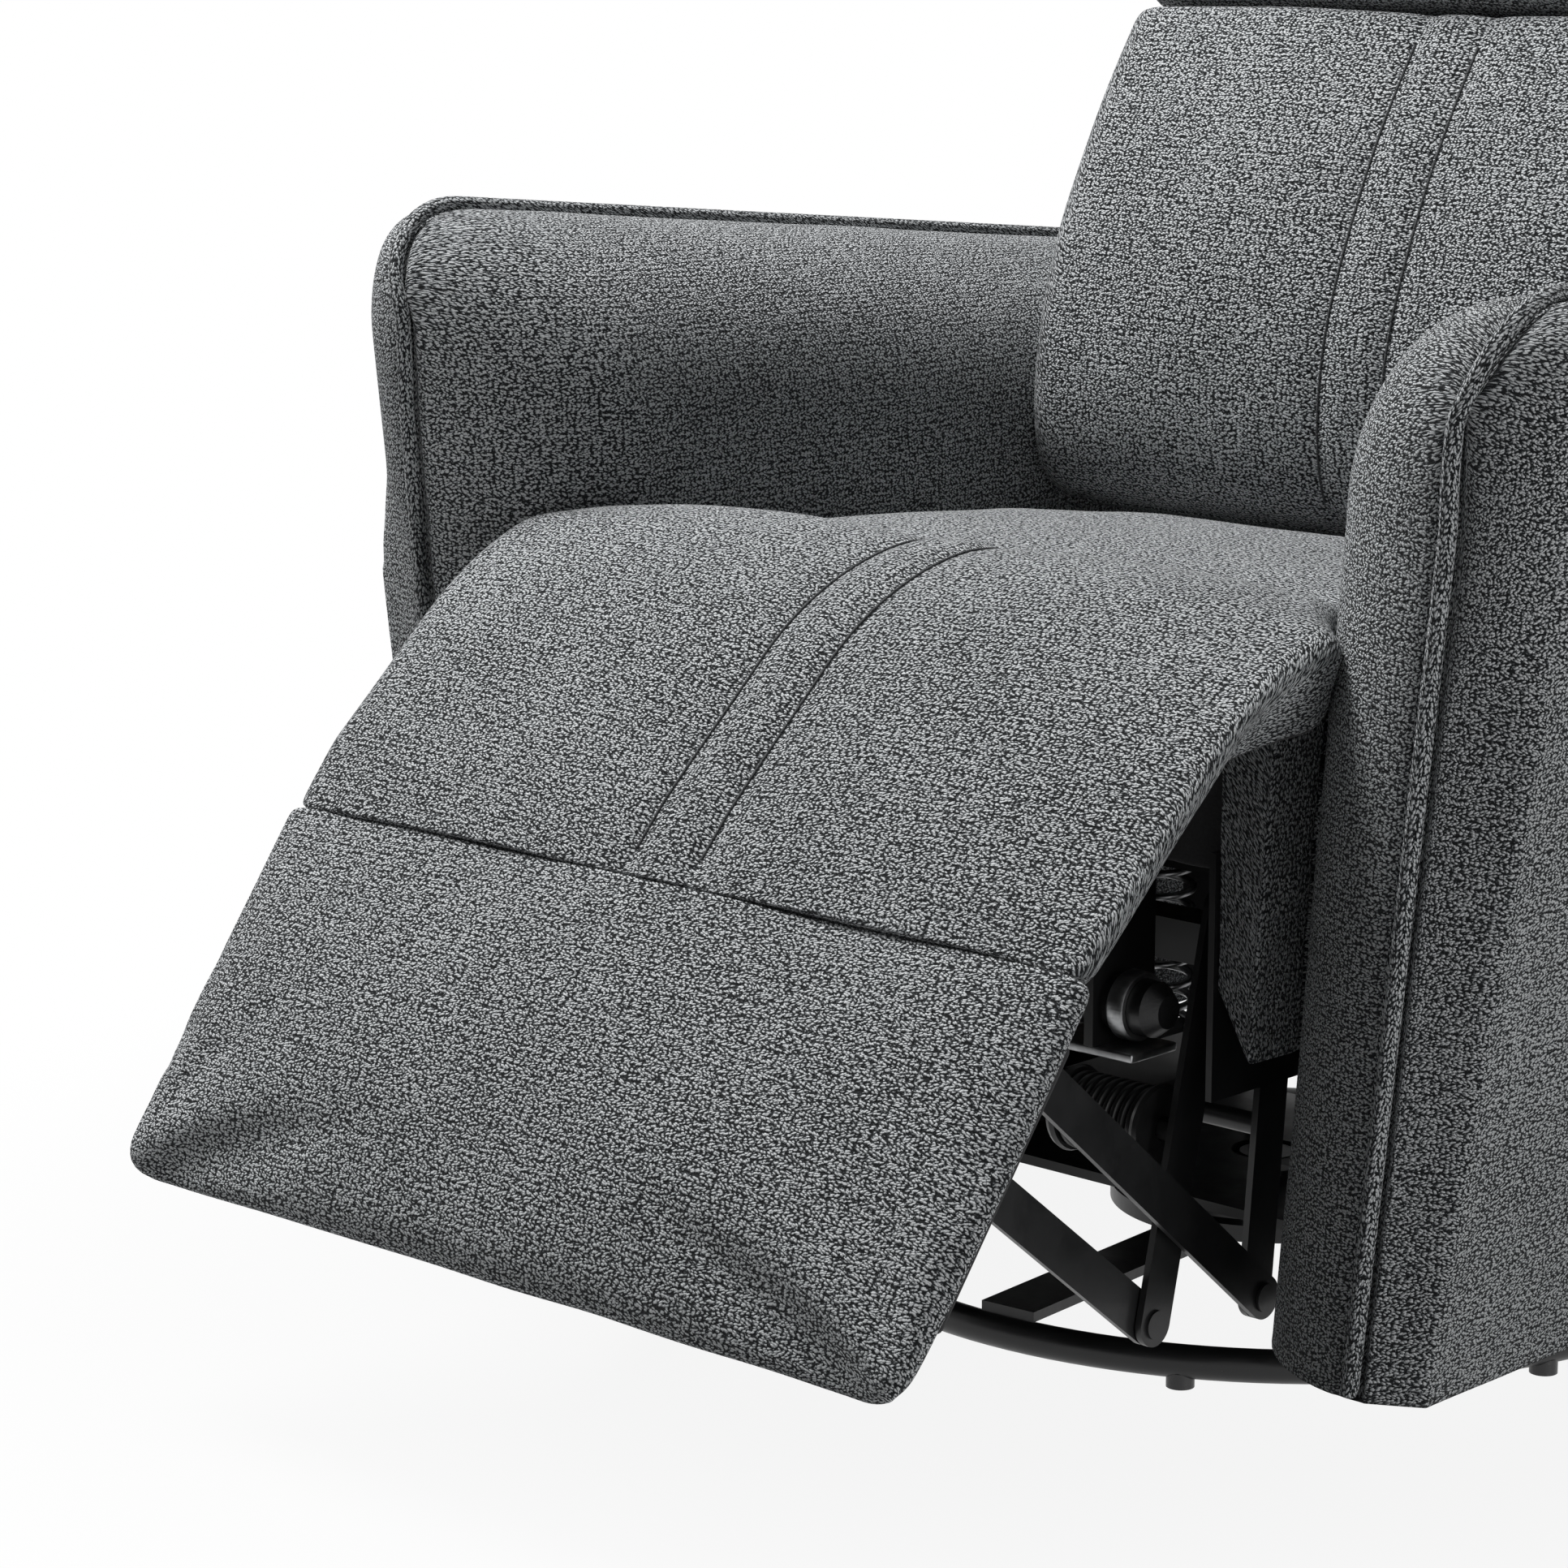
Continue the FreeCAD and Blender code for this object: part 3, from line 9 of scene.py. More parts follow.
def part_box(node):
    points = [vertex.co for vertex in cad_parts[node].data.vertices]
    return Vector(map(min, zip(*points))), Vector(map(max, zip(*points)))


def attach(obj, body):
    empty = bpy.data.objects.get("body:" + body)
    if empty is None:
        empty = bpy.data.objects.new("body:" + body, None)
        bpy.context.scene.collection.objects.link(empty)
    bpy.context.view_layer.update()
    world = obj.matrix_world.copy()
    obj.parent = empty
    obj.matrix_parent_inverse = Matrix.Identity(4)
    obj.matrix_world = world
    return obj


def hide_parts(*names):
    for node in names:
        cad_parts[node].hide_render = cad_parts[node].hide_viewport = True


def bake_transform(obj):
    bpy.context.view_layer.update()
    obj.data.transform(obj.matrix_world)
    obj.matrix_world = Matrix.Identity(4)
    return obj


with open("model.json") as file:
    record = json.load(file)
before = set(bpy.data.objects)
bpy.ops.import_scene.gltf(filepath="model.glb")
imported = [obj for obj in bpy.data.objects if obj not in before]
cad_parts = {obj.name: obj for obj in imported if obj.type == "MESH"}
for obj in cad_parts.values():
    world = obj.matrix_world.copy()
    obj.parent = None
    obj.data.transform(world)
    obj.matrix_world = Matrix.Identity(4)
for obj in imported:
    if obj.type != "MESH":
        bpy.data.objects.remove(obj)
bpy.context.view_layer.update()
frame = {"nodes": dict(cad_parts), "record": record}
NODES = frame["nodes"]
scene = bpy.context.scene
scene.view_settings.view_transform = "Standard"

# Sizes in metres, in the frame of the model: -Y is forward, +X is the near arm
RIGHT, LEFT = 1, -1
SIDES = ((RIGHT, "right"), (LEFT, "left"))
SAME = 1e-5  # points closer than this are one point

# Sewing: two rows of stitches, each STITCH from the middle, drawn into the cloth
STITCH, STITCH_LIFT = 0.023, 0.0009
STITCH_LENGTH, STITCH_SPACE, STITCH_RADIUS = 0.0052, 0.0012, 0.0008
SEWN_WIDTH, SEWN_DEPTH = 0.005, 0.0018
SEWN_COLUMNS = [side * STITCH + offset for side in (LEFT, RIGHT) for offset in (-0.0035, 0.0, 0.0035)]
TOP_SHARE, ON_ROW = 0.99, 5e-4  # where a point counts as on a form's top, and on a row of stitches

# Cells of the cushions, and the cloth simulation that blows them up
RIM_CELL = 0.0055
CLOTH_CAP, CLOTH_FRAMES = 0.022, 20
CLOTH = {
    "quality": 4, "mass": 0.3, "vertex_group_mass": "held", "use_pressure": True, "uniform_pressure_force": 4.0,
    "tension_stiffness": 30.0, "compression_stiffness": 30.0, "shear_stiffness": 10.0, "bending_stiffness": 1.0,
}

# Fabric: distance between rows, width of a knot, knots up a row, and how far the yarn strays
ROW_PITCH, KNOT_WIDTH, KNOTS_UP = 0.0037, 0.0028, 2.3
YARN_STRAY = (0.005, 0.0035, 0.0)


class Shader:
    """The nodes of a material or a world under construction."""

    def __init__(self, name, owners=bpy.data.materials):
        self.owner = owners.new(name)
        self.owner.use_nodes = True
        self.tree = self.owner.node_tree
        self.surface = self.tree.nodes.get("Principled BSDF")

    def add(self, kind, *items, **settings):
        """A node with its settings, its first sockets fed with items."""
        node = self.tree.nodes.new("ShaderNode" + kind)
        for field, setting in settings.items():
            setattr(node, field, setting)
        for socket, item in zip(node.inputs, items):
            self.feed(socket, item)
        return node

    def feed(self, socket, item):
        if isinstance(item, (int, float, tuple)):
            socket.default_value = item
        else:
            self.tree.links.new(item, socket)

    def place(self):
        return self.add("TexCoord").outputs["Object"]

    def weave_place(self):
        return self.add("UVMap", uv_map="Weave").outputs[0]

    def seen(self):
        """1 for what the camera sees directly, in a gloss or through glass."""
        rays = self.add("LightPath").outputs
        direct = self.math("MAXIMUM", rays["Is Camera Ray"], rays["Is Glossy Ray"])
        return self.math("MAXIMUM", direct, rays["Is Transmission Ray"])

    def math(self, operation, *items):
        return self.add("Math", *items, operation=operation).outputs[0]

    def total(self, *pairs):
        """Sum of items, each times its weight."""
        parts = [self.math("MULTIPLY", item, weight) for item, weight in pairs]
        summed = parts[0]
        for part in parts[1:]:
            summed = self.math("ADD", summed, part)
        return summed

    def vector(self, operation, *items):
        return self.add("VectorMath", *items, operation=operation).outputs[0]

    def texture(self, kind, spot, sizes, **settings):
        node = self.add("Tex" + kind, **settings)
        for socket, item in {"Vector": spot, **sizes}.items():
            self.feed(node.inputs[socket], item)
        return node.outputs

    def noise(self, spot, scale, detail=2.0, roughness=0.5, output="Fac"):
        sizes = {"Scale": scale, "Detail": detail, "Roughness": roughness}
        return self.texture("Noise", spot, sizes, noise_dimensions="3D")[output]

    def spread(self, item, *ends, smooth=False):
        """An item's range, given by two ends, spread over the range of two others."""
        kind = "SMOOTHSTEP" if smooth else "LINEAR"
        return self.add("MapRange", item, *ends, interpolation_type=kind).outputs[0]

    def ramp(self, item, stops):
        node = self.add("ValToRGB", item)
        marks = node.color_ramp.elements
        while len(marks) < len(stops):
            marks.new(0.5)
        for mark, (place, colour) in zip(marks, stops):
            mark.position = place
            mark.color = (*colour, 1.0)
        return node.outputs[0]

    def paint(self, colour, roughness):
        self.feed(self.surface.inputs["Base Color"], colour)
        self.feed(self.surface.inputs["Roughness"], roughness)

    def bump(self, height, distance, strength):
        node = self.add("Bump")
        node.inputs["Strength"].default_value = strength
        node.inputs["Distance"].default_value = distance
        self.feed(node.inputs["Height"], height)
        self.feed(self.surface.inputs["Normal"], node.outputs[0])

    def constant(self, **settings):
        for socket, number in settings.items():
            self.surface.inputs[socket.replace("_", " ")].default_value = number


def heather_fabric():
    """Chunky weave: rows of slanted knots in near-black and silver-grey yarn, with painted shade in the gaps
    between knots and rows and painted highlights on the knots' crowns.
    """
    shader = Shader("heather_fabric")
    spot = shader.weave_place()
    stray = shader.vector("SUBTRACT", shader.noise(spot, 45.0, output="Color"), (0.5, 0.5, 0.5))
    strayed = shader.vector("ADD", spot, shader.vector("MULTIPLY", stray, YARN_STRAY))
    parts = shader.add("SeparateXYZ", strayed).outputs
    across = shader.math("MULTIPLY", parts[0], 1 / KNOT_WIDTH)
    rows = shader.math("MULTIPLY", parts[1], 1 / ROW_PITCH)
    in_row = shader.math("FRACT", rows)
    # Knots slant one way in one row and the other way in the next
    slant = shader.math("SUBTRACT", shader.math("FLOORED_MODULO", shader.math("FLOOR", rows), 2.0), 0.5)
    joined = shader.add("CombineXYZ", across, shader.total((rows, KNOTS_UP), (slant, across)))
    knots = shader.texture("Voronoi", joined.outputs[0], {"Scale": 1.0, "Randomness": 0.8},
                           voronoi_dimensions="2D", feature="F1")
    knob = shader.spread(knots["Distance"], 0.12, 0.6, 1.0, 0.0, smooth=True)
    arch = shader.math("MULTIPLY", in_row, shader.math("SUBTRACT", 1.0, in_row))
    ridge = shader.math("MULTIPLY", arch, 4.0)
    fibre = shader.noise(spot, 1800.0, 2.0, 0.6)
    fleck = shader.noise(spot, 950.0, 2.0, 0.6)
    nap = shader.noise(spot, 9.0, 3.0)
    tint = shader.add("SeparateColor", knots["Color"])
    height = shader.total((knob, 0.6), (ridge, 0.26), (fibre, 0.25))
    # Colour follows the weave's height: painted shade in the gaps, painted highlight on the crowns; fleck, knot
    # tint and nap vary the yarn's own colour at random
    yarn_tone_and_painted_shade = shader.total((height, 1.0), (fleck, 1.4), (tint.outputs[0], 0.25), (nap, 0.16))
    colour = shader.ramp(shader.math("SUBTRACT", yarn_tone_and_painted_shade, 0.94), (
        (0.0, (0.003, 0.0036, 0.0042)),
        (0.36, (0.012, 0.0138, 0.0154)),
        (0.46, (0.1, 0.109, 0.117)),
        (0.56, (0.46, 0.482, 0.5)),
        (0.72, (0.82, 0.84, 0.855)),
    ))
    shader.paint(colour, shader.spread(height, 0.0, 1.1, 0.96, 0.78))
    shader.constant(Sheen_Weight=0.08, Sheen_Roughness=0.45, Specular_IOR_Level=0.2)
    shader.bump(height, 0.0022, 0.9)
    return shader.owner


def stitching():
    """Twisted sewing thread, nearly black."""
    shader = Shader("sewing_thread")
    twist = shader.texture("Wave", shader.weave_place(), {"Scale": 420.0},
                           wave_type="BANDS", bands_direction="DIAGONAL")["Fac"]
    shader.paint(shader.ramp(twist, ((0.0, (0.014, 0.015, 0.016)), (1.0, (0.075, 0.08, 0.084)))), 0.7)
    shader.bump(twist, 0.0003, 0.6)
    return shader.owner


def black_lining():
    """Thin black felted cloth of the underside."""
    shader = Shader("black_lining")
    spot = shader.place()
    fibre = shader.noise(spot, 700.0, 4.0, 0.7)
    blotch = shader.noise(spot, 18.0, 2.0)
    mixed = shader.total((fibre, 0.7), (blotch, 0.3))
    shader.paint(shader.ramp(mixed, ((0.3, (0.006, 0.006, 0.0065)), (0.7, (0.028, 0.028, 0.03)))), 0.92)
    shader.constant(Sheen_Weight=0.1)
    shader.bump(fibre, 0.0004, 0.5)
    return shader.owner


def black_enamel():
    """Glossy black paint on steel, with faint orange peel, dust and scuffs."""
    shader = Shader("black_steel")
    spot = shader.place()
    peel = shader.noise(spot, 260.0, 2.0)
    dust = shader.noise(spot, 900.0, 3.0, 0.7)
    scuff = shader.noise(spot, 34.0, 5.0, 0.7)
    grey = shader.math("MULTIPLY", shader.spread(dust, 0.62, 0.8, 0.0, 1.0),
                       shader.spread(scuff, 0.5, 0.72, 0.0, 1.0))
    colour = shader.ramp(grey, ((0.0, (0.0105, 0.0107, 0.0112)), (1.0, (0.075, 0.075, 0.074))))
    shader.paint(colour, shader.spread(scuff, 0.3, 0.75, 0.34, 0.52))
    shader.constant(Coat_Weight=0.12, Coat_Roughness=0.15, Specular_IOR_Level=0.35)
    shader.bump(peel, 0.00025, 0.25)
    return shader.owner


def bright_steel():
    """Zinc-plated steel with fine drawn lines and dull patches."""
    shader = Shader("bright_steel")
    spot = shader.place()
    lines = shader.noise(shader.vector("MULTIPLY", spot, (40.0, 900.0, 900.0)), 1.0, 3.0)
    patch = shader.noise(spot, 60.0, 4.0, 0.6)
    colour = shader.ramp(patch, ((0.3, (0.2, 0.205, 0.21)), (0.7, (0.42, 0.425, 0.43))))
    shader.paint(colour, shader.spread(lines, 0.2, 0.8, 0.28, 0.5))
    shader.constant(Metallic=1.0)
    shader.bump(lines, 0.0001, 0.4)
    return shader.owner


def black_plastic():
    """Moulded black plastic with a fine leathery grain."""
    shader = Shader("black_plastic")
    spot = shader.place()
    grain = shader.texture("Voronoi", spot, {"Scale": 900.0}, feature="SMOOTH_F1")
    cloud = shader.noise(spot, 40.0, 3.0)
    colour = shader.ramp(cloud, ((0.3, (0.012, 0.012, 0.013)), (0.7, (0.024, 0.024, 0.025))))
    shader.paint(colour, shader.spread(cloud, 0.3, 0.7, 0.34, 0.5))
    shader.bump(grain["Distance"], 0.0003, 0.35)
    return shader.owner


def frame_wood():
    """Sawn softwood with growth bands along Y and fine darker pores."""
    shader = Shader("frame_wood")
    spot = shader.place()
    drawn = shader.vector("MULTIPLY", spot, (26.0, 2.2, 26.0))
    warp = shader.noise(drawn, 1.2, 3.0, output="Color")
    sizes = {"Scale": 1.4, "Distortion": 3.0, "Detail": 3.0}
    bands = shader.texture("Wave", shader.vector("ADD", drawn, warp), sizes, wave_type="RINGS")
    pores = shader.noise(shader.vector("MULTIPLY", spot, (900.0, 60.0, 900.0)), 1.0, 2.0)
    mixed = shader.total((bands["Fac"], 0.6), (pores, 0.4))
    stops = ((0.15, (0.34, 0.2, 0.1)), (0.55, (0.55, 0.37, 0.2)), (0.9, (0.64, 0.46, 0.27)))
    colour = shader.ramp(mixed, stops)
    shader.paint(colour, shader.spread(pores, 0.3, 0.7, 0.6, 0.8))
    shader.bump(mixed, 0.0005, 0.4)
    return shader.owner


FABRIC = heather_fabric()
THREAD = stitching()
LINING = black_lining()
SURFACES = {
    "heather_fabric": FABRIC,
    "frame_wood": frame_wood(),
    "black_steel": black_enamel(),
    "bright_steel": bright_steel(),
    "black_plastic": black_plastic(),
}


def weave_lengths(points, turned):
    """Weave coordinates of a patch: distances along its rows from the middle, and down its columns."""
    middle = len(points[0]) // 2
    down = [0.0] * len(points[0])
    table = []
    for before, row in zip([points[0], *points], points):
        down = [length + (point - above).length for length, point, above in zip(down, row, before)]
        across = [0.0] * len(row)
        for j in range(middle + 1, len(row)):
            across[j] = across[j - 1] + (row[j] - row[j - 1]).length
        for j in range(middle - 1, -1, -1):
            across[j] = across[j + 1] - (row[j] - row[j + 1]).length
        table.append(list(zip(down, across) if turned else zip(across, down)))
    return table


class Patchwork:
    """Quad patches sewn into one mesh, each with its own weave coordinates in metres."""

    def __init__(self):
        self.mesh = bmesh.new()
        self.weave = self.mesh.loops.layers.uv.new("Weave")
        self.local = self.mesh.verts.layers.float_vector.new("local")

    def patch(self, points, local=None, material=0, turned=False):
        local = local or points
        grid = []
        for row, row_local in zip(points, local):
            line = []
            for point, spot in zip(row, row_local):
                vert = self.mesh.verts.new(point)
                vert[self.local] = spot
                line.append(vert)
            grid.append(line)
        weave = weave_lengths(points, turned)
        for i in range(len(grid) - 1):
            for j in range(len(grid[0]) - 1):
                corners = ((i, j), (i, j + 1), (i + 1, j + 1), (i + 1, j))
                face = self.mesh.faces.new([grid[a][b] for a, b in corners])
                face.material_index = material
                face.smooth = True
                for loop, (a, b) in zip(face.loops, corners):
                    loop[self.weave].uv = weave[a][b]

    def build(self, name, materials):
        bmesh.ops.remove_doubles(self.mesh, verts=self.mesh.verts, dist=SAME)
        bmesh.ops.dissolve_degenerate(self.mesh, edges=self.mesh.edges, dist=1e-6)
        bmesh.ops.recalc_face_normals(self.mesh, faces=self.mesh.faces)
        mesh = bpy.data.meshes.new(name)
        self.mesh.to_mesh(mesh)
        self.mesh.free()
        for material in materials:
            mesh.materials.append(material)
        piece = bpy.data.objects.new(name, mesh)
        scene.collection.objects.link(piece)
        return piece


def soften(piece):
    modifier = piece.modifiers.new("Smooth", "SUBSURF")
    modifier.levels = 1
    modifier.render_levels = 1
    return piece


def ripple(piece, amount, size):
    """Shallow unevenness of stuffed cloth."""
    mesh = piece.data
    normals = [vert.normal.copy() for vert in mesh.vertices]
    for vert, normal in zip(mesh.vertices, normals):
        vert.co += normal * (amount * noise.noise(vert.co / size))
    mesh.update()


def tube_rows(path, radius, sides):
    """Rings of points round a path; each ring repeats its first point at the end."""
    rows = []
    across = None
    for index, point in enumerate(path):
        before = path[max(index - 1, 0)]
        after = path[min(index + 1, len(path) - 1)]
        heading = (after - before).normalized()
        if across is None:
            guide = Vector((1, 0, 0)) if abs(heading.x) < 0.9 else Vector((0, 1, 0))
            across = heading.cross(guide)
        across = (across - heading * across.dot(heading)).normalized()
        other = heading.cross(across)
        ring = []
        for k in range(sides + 1):
            angle = 2 * math.pi * k / sides
            ring.append(point + (across * math.cos(angle) + other * math.sin(angle)) * radius)
        rows.append(ring)
    return rows


def add_tube(work, path, radius, sides):
    """A closed round cord along a path, its ends rounded off."""
    rows = tube_rows(path, radius, sides)
    for end, inner in ((0, 1), (-1, -2)):
        heading = (path[end] - path[inner]).normalized()
        rings = []
        for share in (0.5, 0.85, 1.0):
            size = math.sqrt(max(1 - share * share, 0.0))
            tip = path[end]
            rings.append([tip + (point - tip) * size + heading * radius * share for point in rows[end]])
        if end == 0:
            rows = rings[::-1] + rows
        else:
            rows = rows + rings
    work.patch(rows, turned=True)


def along(value, start, run):
    """Share of the way along a run, from 0 to 1."""
    return min(max((value - start) / run, 0.0), 1.0)


def stations(total, low_rim, high_rim, step, marks=()):
    """Distances across a cushion with their shares of the rims: close round the rims, even between."""
    stops = []
    low_cells, high_cells = (max(2, min(round(rim / RIM_CELL), 4)) for rim in (low_rim, high_rim))
    for k in range(low_cells):
        share = -math.sin(math.pi / 2 * (1 - k / low_cells))
        stops.append((low_rim * (1 + share), share))
    knots = [low_rim, *marks, total - high_rim]
    for first, last in zip(knots, knots[1:]):
        count = max(1, round((last - first) / step))
        stops += [(first + (last - first) * k / count, 0.0) for k in range(count)]
    for k in range(high_cells + 1):
        share = math.sin(math.pi / 2 * k / high_cells)
        stops.append((total - high_rim * (1 - share), share))
    return stops


def cushion(name, width, length, rims, drops, thick, crown, place, marks=(), step=0.007, underside=0):
    """A closed stuffed form over a rounded rectangle.

    rims are the widths of the rounding at the sides, start and end, drops its heights there, and at the base.
    crown and thick give heights from a point's X and its distance along; place sets it down.
    """
    side_rim, start_rim, end_rim = rims
    side_drop, start_drop, end_drop, base_drop = drops
    columns = stations(width, side_rim, side_rim, step, [width / 2 + mark for mark in marks])
    rows = stations(length, start_rim, end_rim, step)
    top, base, top_local, base_local = [], [], [], []
    for s, b in rows:
        lines = ([], [], [], [])
        for x, a in columns:
            a_in = a * math.sqrt(1 - b * b / 2)
            b_in = b * math.sqrt(1 - a * a / 2)
            x_in = x + side_rim * (a_in - a) - width / 2
            s_in = s + (start_rim if b < 0 else end_rim) * (b_in - b)
            fall = 1 - math.sqrt(max(1 - a_in * a_in - b_in * b_in, 0.0))
            share = a * a / max(a * a + b * b, 1e-9)
            top_drop = share * side_drop + (1 - share) * (start_drop if b < 0 else end_drop)
            lines[0].append(place(x_in, s_in, crown(x_in, s_in) - top_drop * fall))
            lines[1].append(place(x_in, s_in, -thick(x_in, s_in) + base_drop * fall))
            lines[2].append(Vector((x_in, s_in, 1.0)))
            lines[3].append(Vector((x_in, s_in, 0.0)))
        for table, line in zip((top, base, top_local, base_local), lines):
            table.append(line)
    last_row, last_column = len(rows) - 1, len(columns) - 1
    loop = [(0, j) for j in range(last_column + 1)]
    loop += [(i, last_column) for i in range(1, last_row + 1)]
    loop += [(last_row, j) for j in range(last_column - 1, -1, -1)]
    loop += [(i, 0) for i in range(last_row - 1, -1, -1)]
    height = max((top[i][j] - base[i][j]).length for i, j in loop)
    count = max(2, round(height / step))
    strip, strip_local = [], []
    for k in range(count + 1):
        share = k / count
        strip.append([top[i][j].lerp(base[i][j], share) for i, j in loop])
        strip_local.append([top_local[i][j].lerp(base_local[i][j], share) for i, j in loop])
    work = Patchwork()
    work.patch(top, top_local)
    work.patch(base, base_local, underside)
    work.patch(strip, strip_local)
    return work.build(name, (FABRIC, LINING))


def local_spots(piece):
    """Each vertex's place in its form: across, along, and 1 at the top to 0 at the base for a cushion."""
    return [item.vector.copy() for item in piece.data.attributes["local"].data]


def crease(piece, crispness):
    """Keep edges crisp when a form is smoothed, by an amount that crispness tells from an edge's ends."""
    spots = local_spots(piece)
    creases = piece.data.attributes.new("crease_edge", "FLOAT", "EDGE")
    for edge, item in zip(piece.data.edges, creases.data):
        item.value = crispness([spots[index] for index in edge.vertices])


def sharpen(piece, end):
    """Keep the upper edge at one end of a form sharp, where the next form meets it."""
    crease(piece, lambda ends: float(all(abs(spot.y - end) < SAME and spot.z > TOP_SHARE for spot in ends)))


def inflate(piece, held):
    """Blow a stuffed form up as cloth under pressure, held where it is sewn or rests, and keep the result."""
    spots = local_spots(piece)
    group = piece.vertex_groups.new(name="held")
    for index, spot in enumerate(spots):
        if held(*spot):
            group.add([index], 1.0, "REPLACE")
    cloth = piece.modifiers.new("Cloth", "CLOTH")
    for field, setting in CLOTH.items():
        setattr(cloth.settings, field, setting)
    cloth.settings.effector_weights.gravity = 0.0
    cloth.collision_settings.use_collision = False
    cloth.point_cache.frame_end = CLOTH_FRAMES
    for step in range(1, CLOTH_FRAMES + 1):
        scene.frame_set(step)
    graph = bpy.context.evaluated_depsgraph_get()
    swollen = [vert.co.copy() for vert in piece.evaluated_get(graph).data.vertices]
    piece.modifiers.remove(cloth)
    piece.vertex_groups.remove(group)
    scene.frame_set(1)
    for vert, target in zip(piece.data.vertices, swollen):
        move = target - vert.co
        if move.length > CLOTH_CAP:
            move *= CLOTH_CAP / move.length
        vert.co += move
    piece.data.update()


def groove(distance, width, depth):
    return depth * math.exp(-(distance / width) ** 2)


def draw_in_rows(piece):
    """Draw a stuffed form's top in along its two rows of stitches."""
    normals = [vert.normal.copy() for vert in piece.data.vertices]
    for vert, normal, spot in zip(piece.data.vertices, normals, local_spots(piece)):
        if spot.z > TOP_SHARE:
            vert.co -= normal * groove(abs(spot.x) - STITCH, SEWN_WIDTH, SEWN_DEPTH)
    piece.data.update()


def on_stitches(x):
    return abs(abs(x) - STITCH) < ON_ROW


def seam_line(piece, x_line, low, high):
    """Points just over a form's top along one of its lengthwise rows of vertices."""
    found = []
    for vert, spot in zip(piece.data.vertices, local_spots(piece)):
        if abs(spot.x - x_line) < ON_ROW and spot.z > TOP_SHARE and low <= spot.y <= high:
            found.append((spot.y, vert.co + vert.normal * STITCH_LIFT))
    return [point for _, point in sorted(found, key=lambda item: item[0])]


def resample(points, step):
    """The same line as points an even step apart."""
    out = [points[0].copy()]
    carried = 0.0
    for first, last in zip(points, points[1:]):
        span = (last - first).length
        while carried + span >= step:
            share = (step - carried) / span
            first = first.lerp(last, share)
            span = (last - first).length
            out.append(first.copy())
            carried = 0.0
        carried += span
    return out


def stitches(name, piece, low, high):
    """Two rows of single stitches over a form's top, from one distance along it to another."""
    work = Patchwork()
    for side in (LEFT, RIGHT):
        line = seam_line(piece, side * STITCH, low, high)
        fine = resample(line, (STITCH_LENGTH + STITCH_SPACE) / 4)
        for start in range(0, len(fine) - 4, 4):
            add_tube(work, fine[start:start + 4], STITCH_RADIUS, 6)
    return work.build(name, (THREAD,))


def settle(piece, body, *nodes, slot="heather_fabric", fill=None):
    """Make a finished piece ride on its body and stand for its solids."""
    local = piece.data.attributes.get("local")
    if local:
        piece.data.attributes.remove(local)
    if body:
        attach(piece, body)
    if nodes:
        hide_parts(*nodes)
    return piece


# Leg pad: a flat start between the arms, a bend, then a straight fall to the crease
PAD_FORWARD, PAD_HEIGHT = 0.2554, 0.466
PAD_FLAT, PAD_RADIUS, PAD_BEND = 0.034, 0.2, math.radians(42)
PAD_LENGTH, PAD_THICK = 0.3135, 0.055
PAD_NARROW, PAD_WIDE = 0.2475, 0.297
PAD_END_FROM, PAD_END_LEAN = 0.25, math.tan(math.radians(10.3))
PAD_TAPER_FROM, PAD_TAPER_RUN, PAD_TAPER = 0.335, 0.07, 1.07
EDGE_DEPTH = 0.004  # the straight part of a thin edge, over its taper
NOSE_ROOM = 0.0025


def on_leg_path(x, s, n):
    """Set a point of the leg pad down; it fills the room between the arms and widens in front of them."""
    s += PAD_END_LEAN * max(n + PAD_THICK, 0.0) * along(s, PAD_END_FROM, PAD_LENGTH - PAD_END_FROM)
    slope = min(max((s - PAD_FLAT) / PAD_RADIUS, 0.0), PAD_BEND)
    rest = max(s - PAD_FLAT - PAD_RADIUS * PAD_BEND, 0.0)
    forward = PAD_FORWARD + min(s, PAD_FLAT) + PAD_RADIUS * math.sin(slope) + rest * math.cos(slope)
    height = PAD_HEIGHT - PAD_RADIUS * (1 - math.cos(slope)) - rest * math.sin(slope)
    y, z = -(forward + n * math.sin(slope)), height + n * math.cos(slope)
    room = inner_x(max(y - ARM_FRONT, 0.0), z) - NOSE_ROOM
    half = min(max(room, PAD_NARROW), PAD_WIDE)
    half -= PAD_TAPER * along(forward, PAD_TAPER_FROM, PAD_TAPER_RUN) * max(-n - EDGE_DEPTH, 0.0)
    if abs(x) > STITCH:
        x = math.copysign(STITCH + (abs(x) - STITCH) * (half - STITCH) / (PAD_WIDE - STITCH), x)
    return Vector((x, y, z))


def lobes(x, half, crest, edge):
    """Height across a form with a narrow sewn band down its middle and a lobe on each side."""
    if abs(x) < STITCH:
        return 0.002 * (1 - (x / STITCH) ** 2)
    t = (abs(x) - STITCH) / (half - STITCH)
    return 2 * (edge - 2 * crest) * t * t + (4 * crest - edge) * t


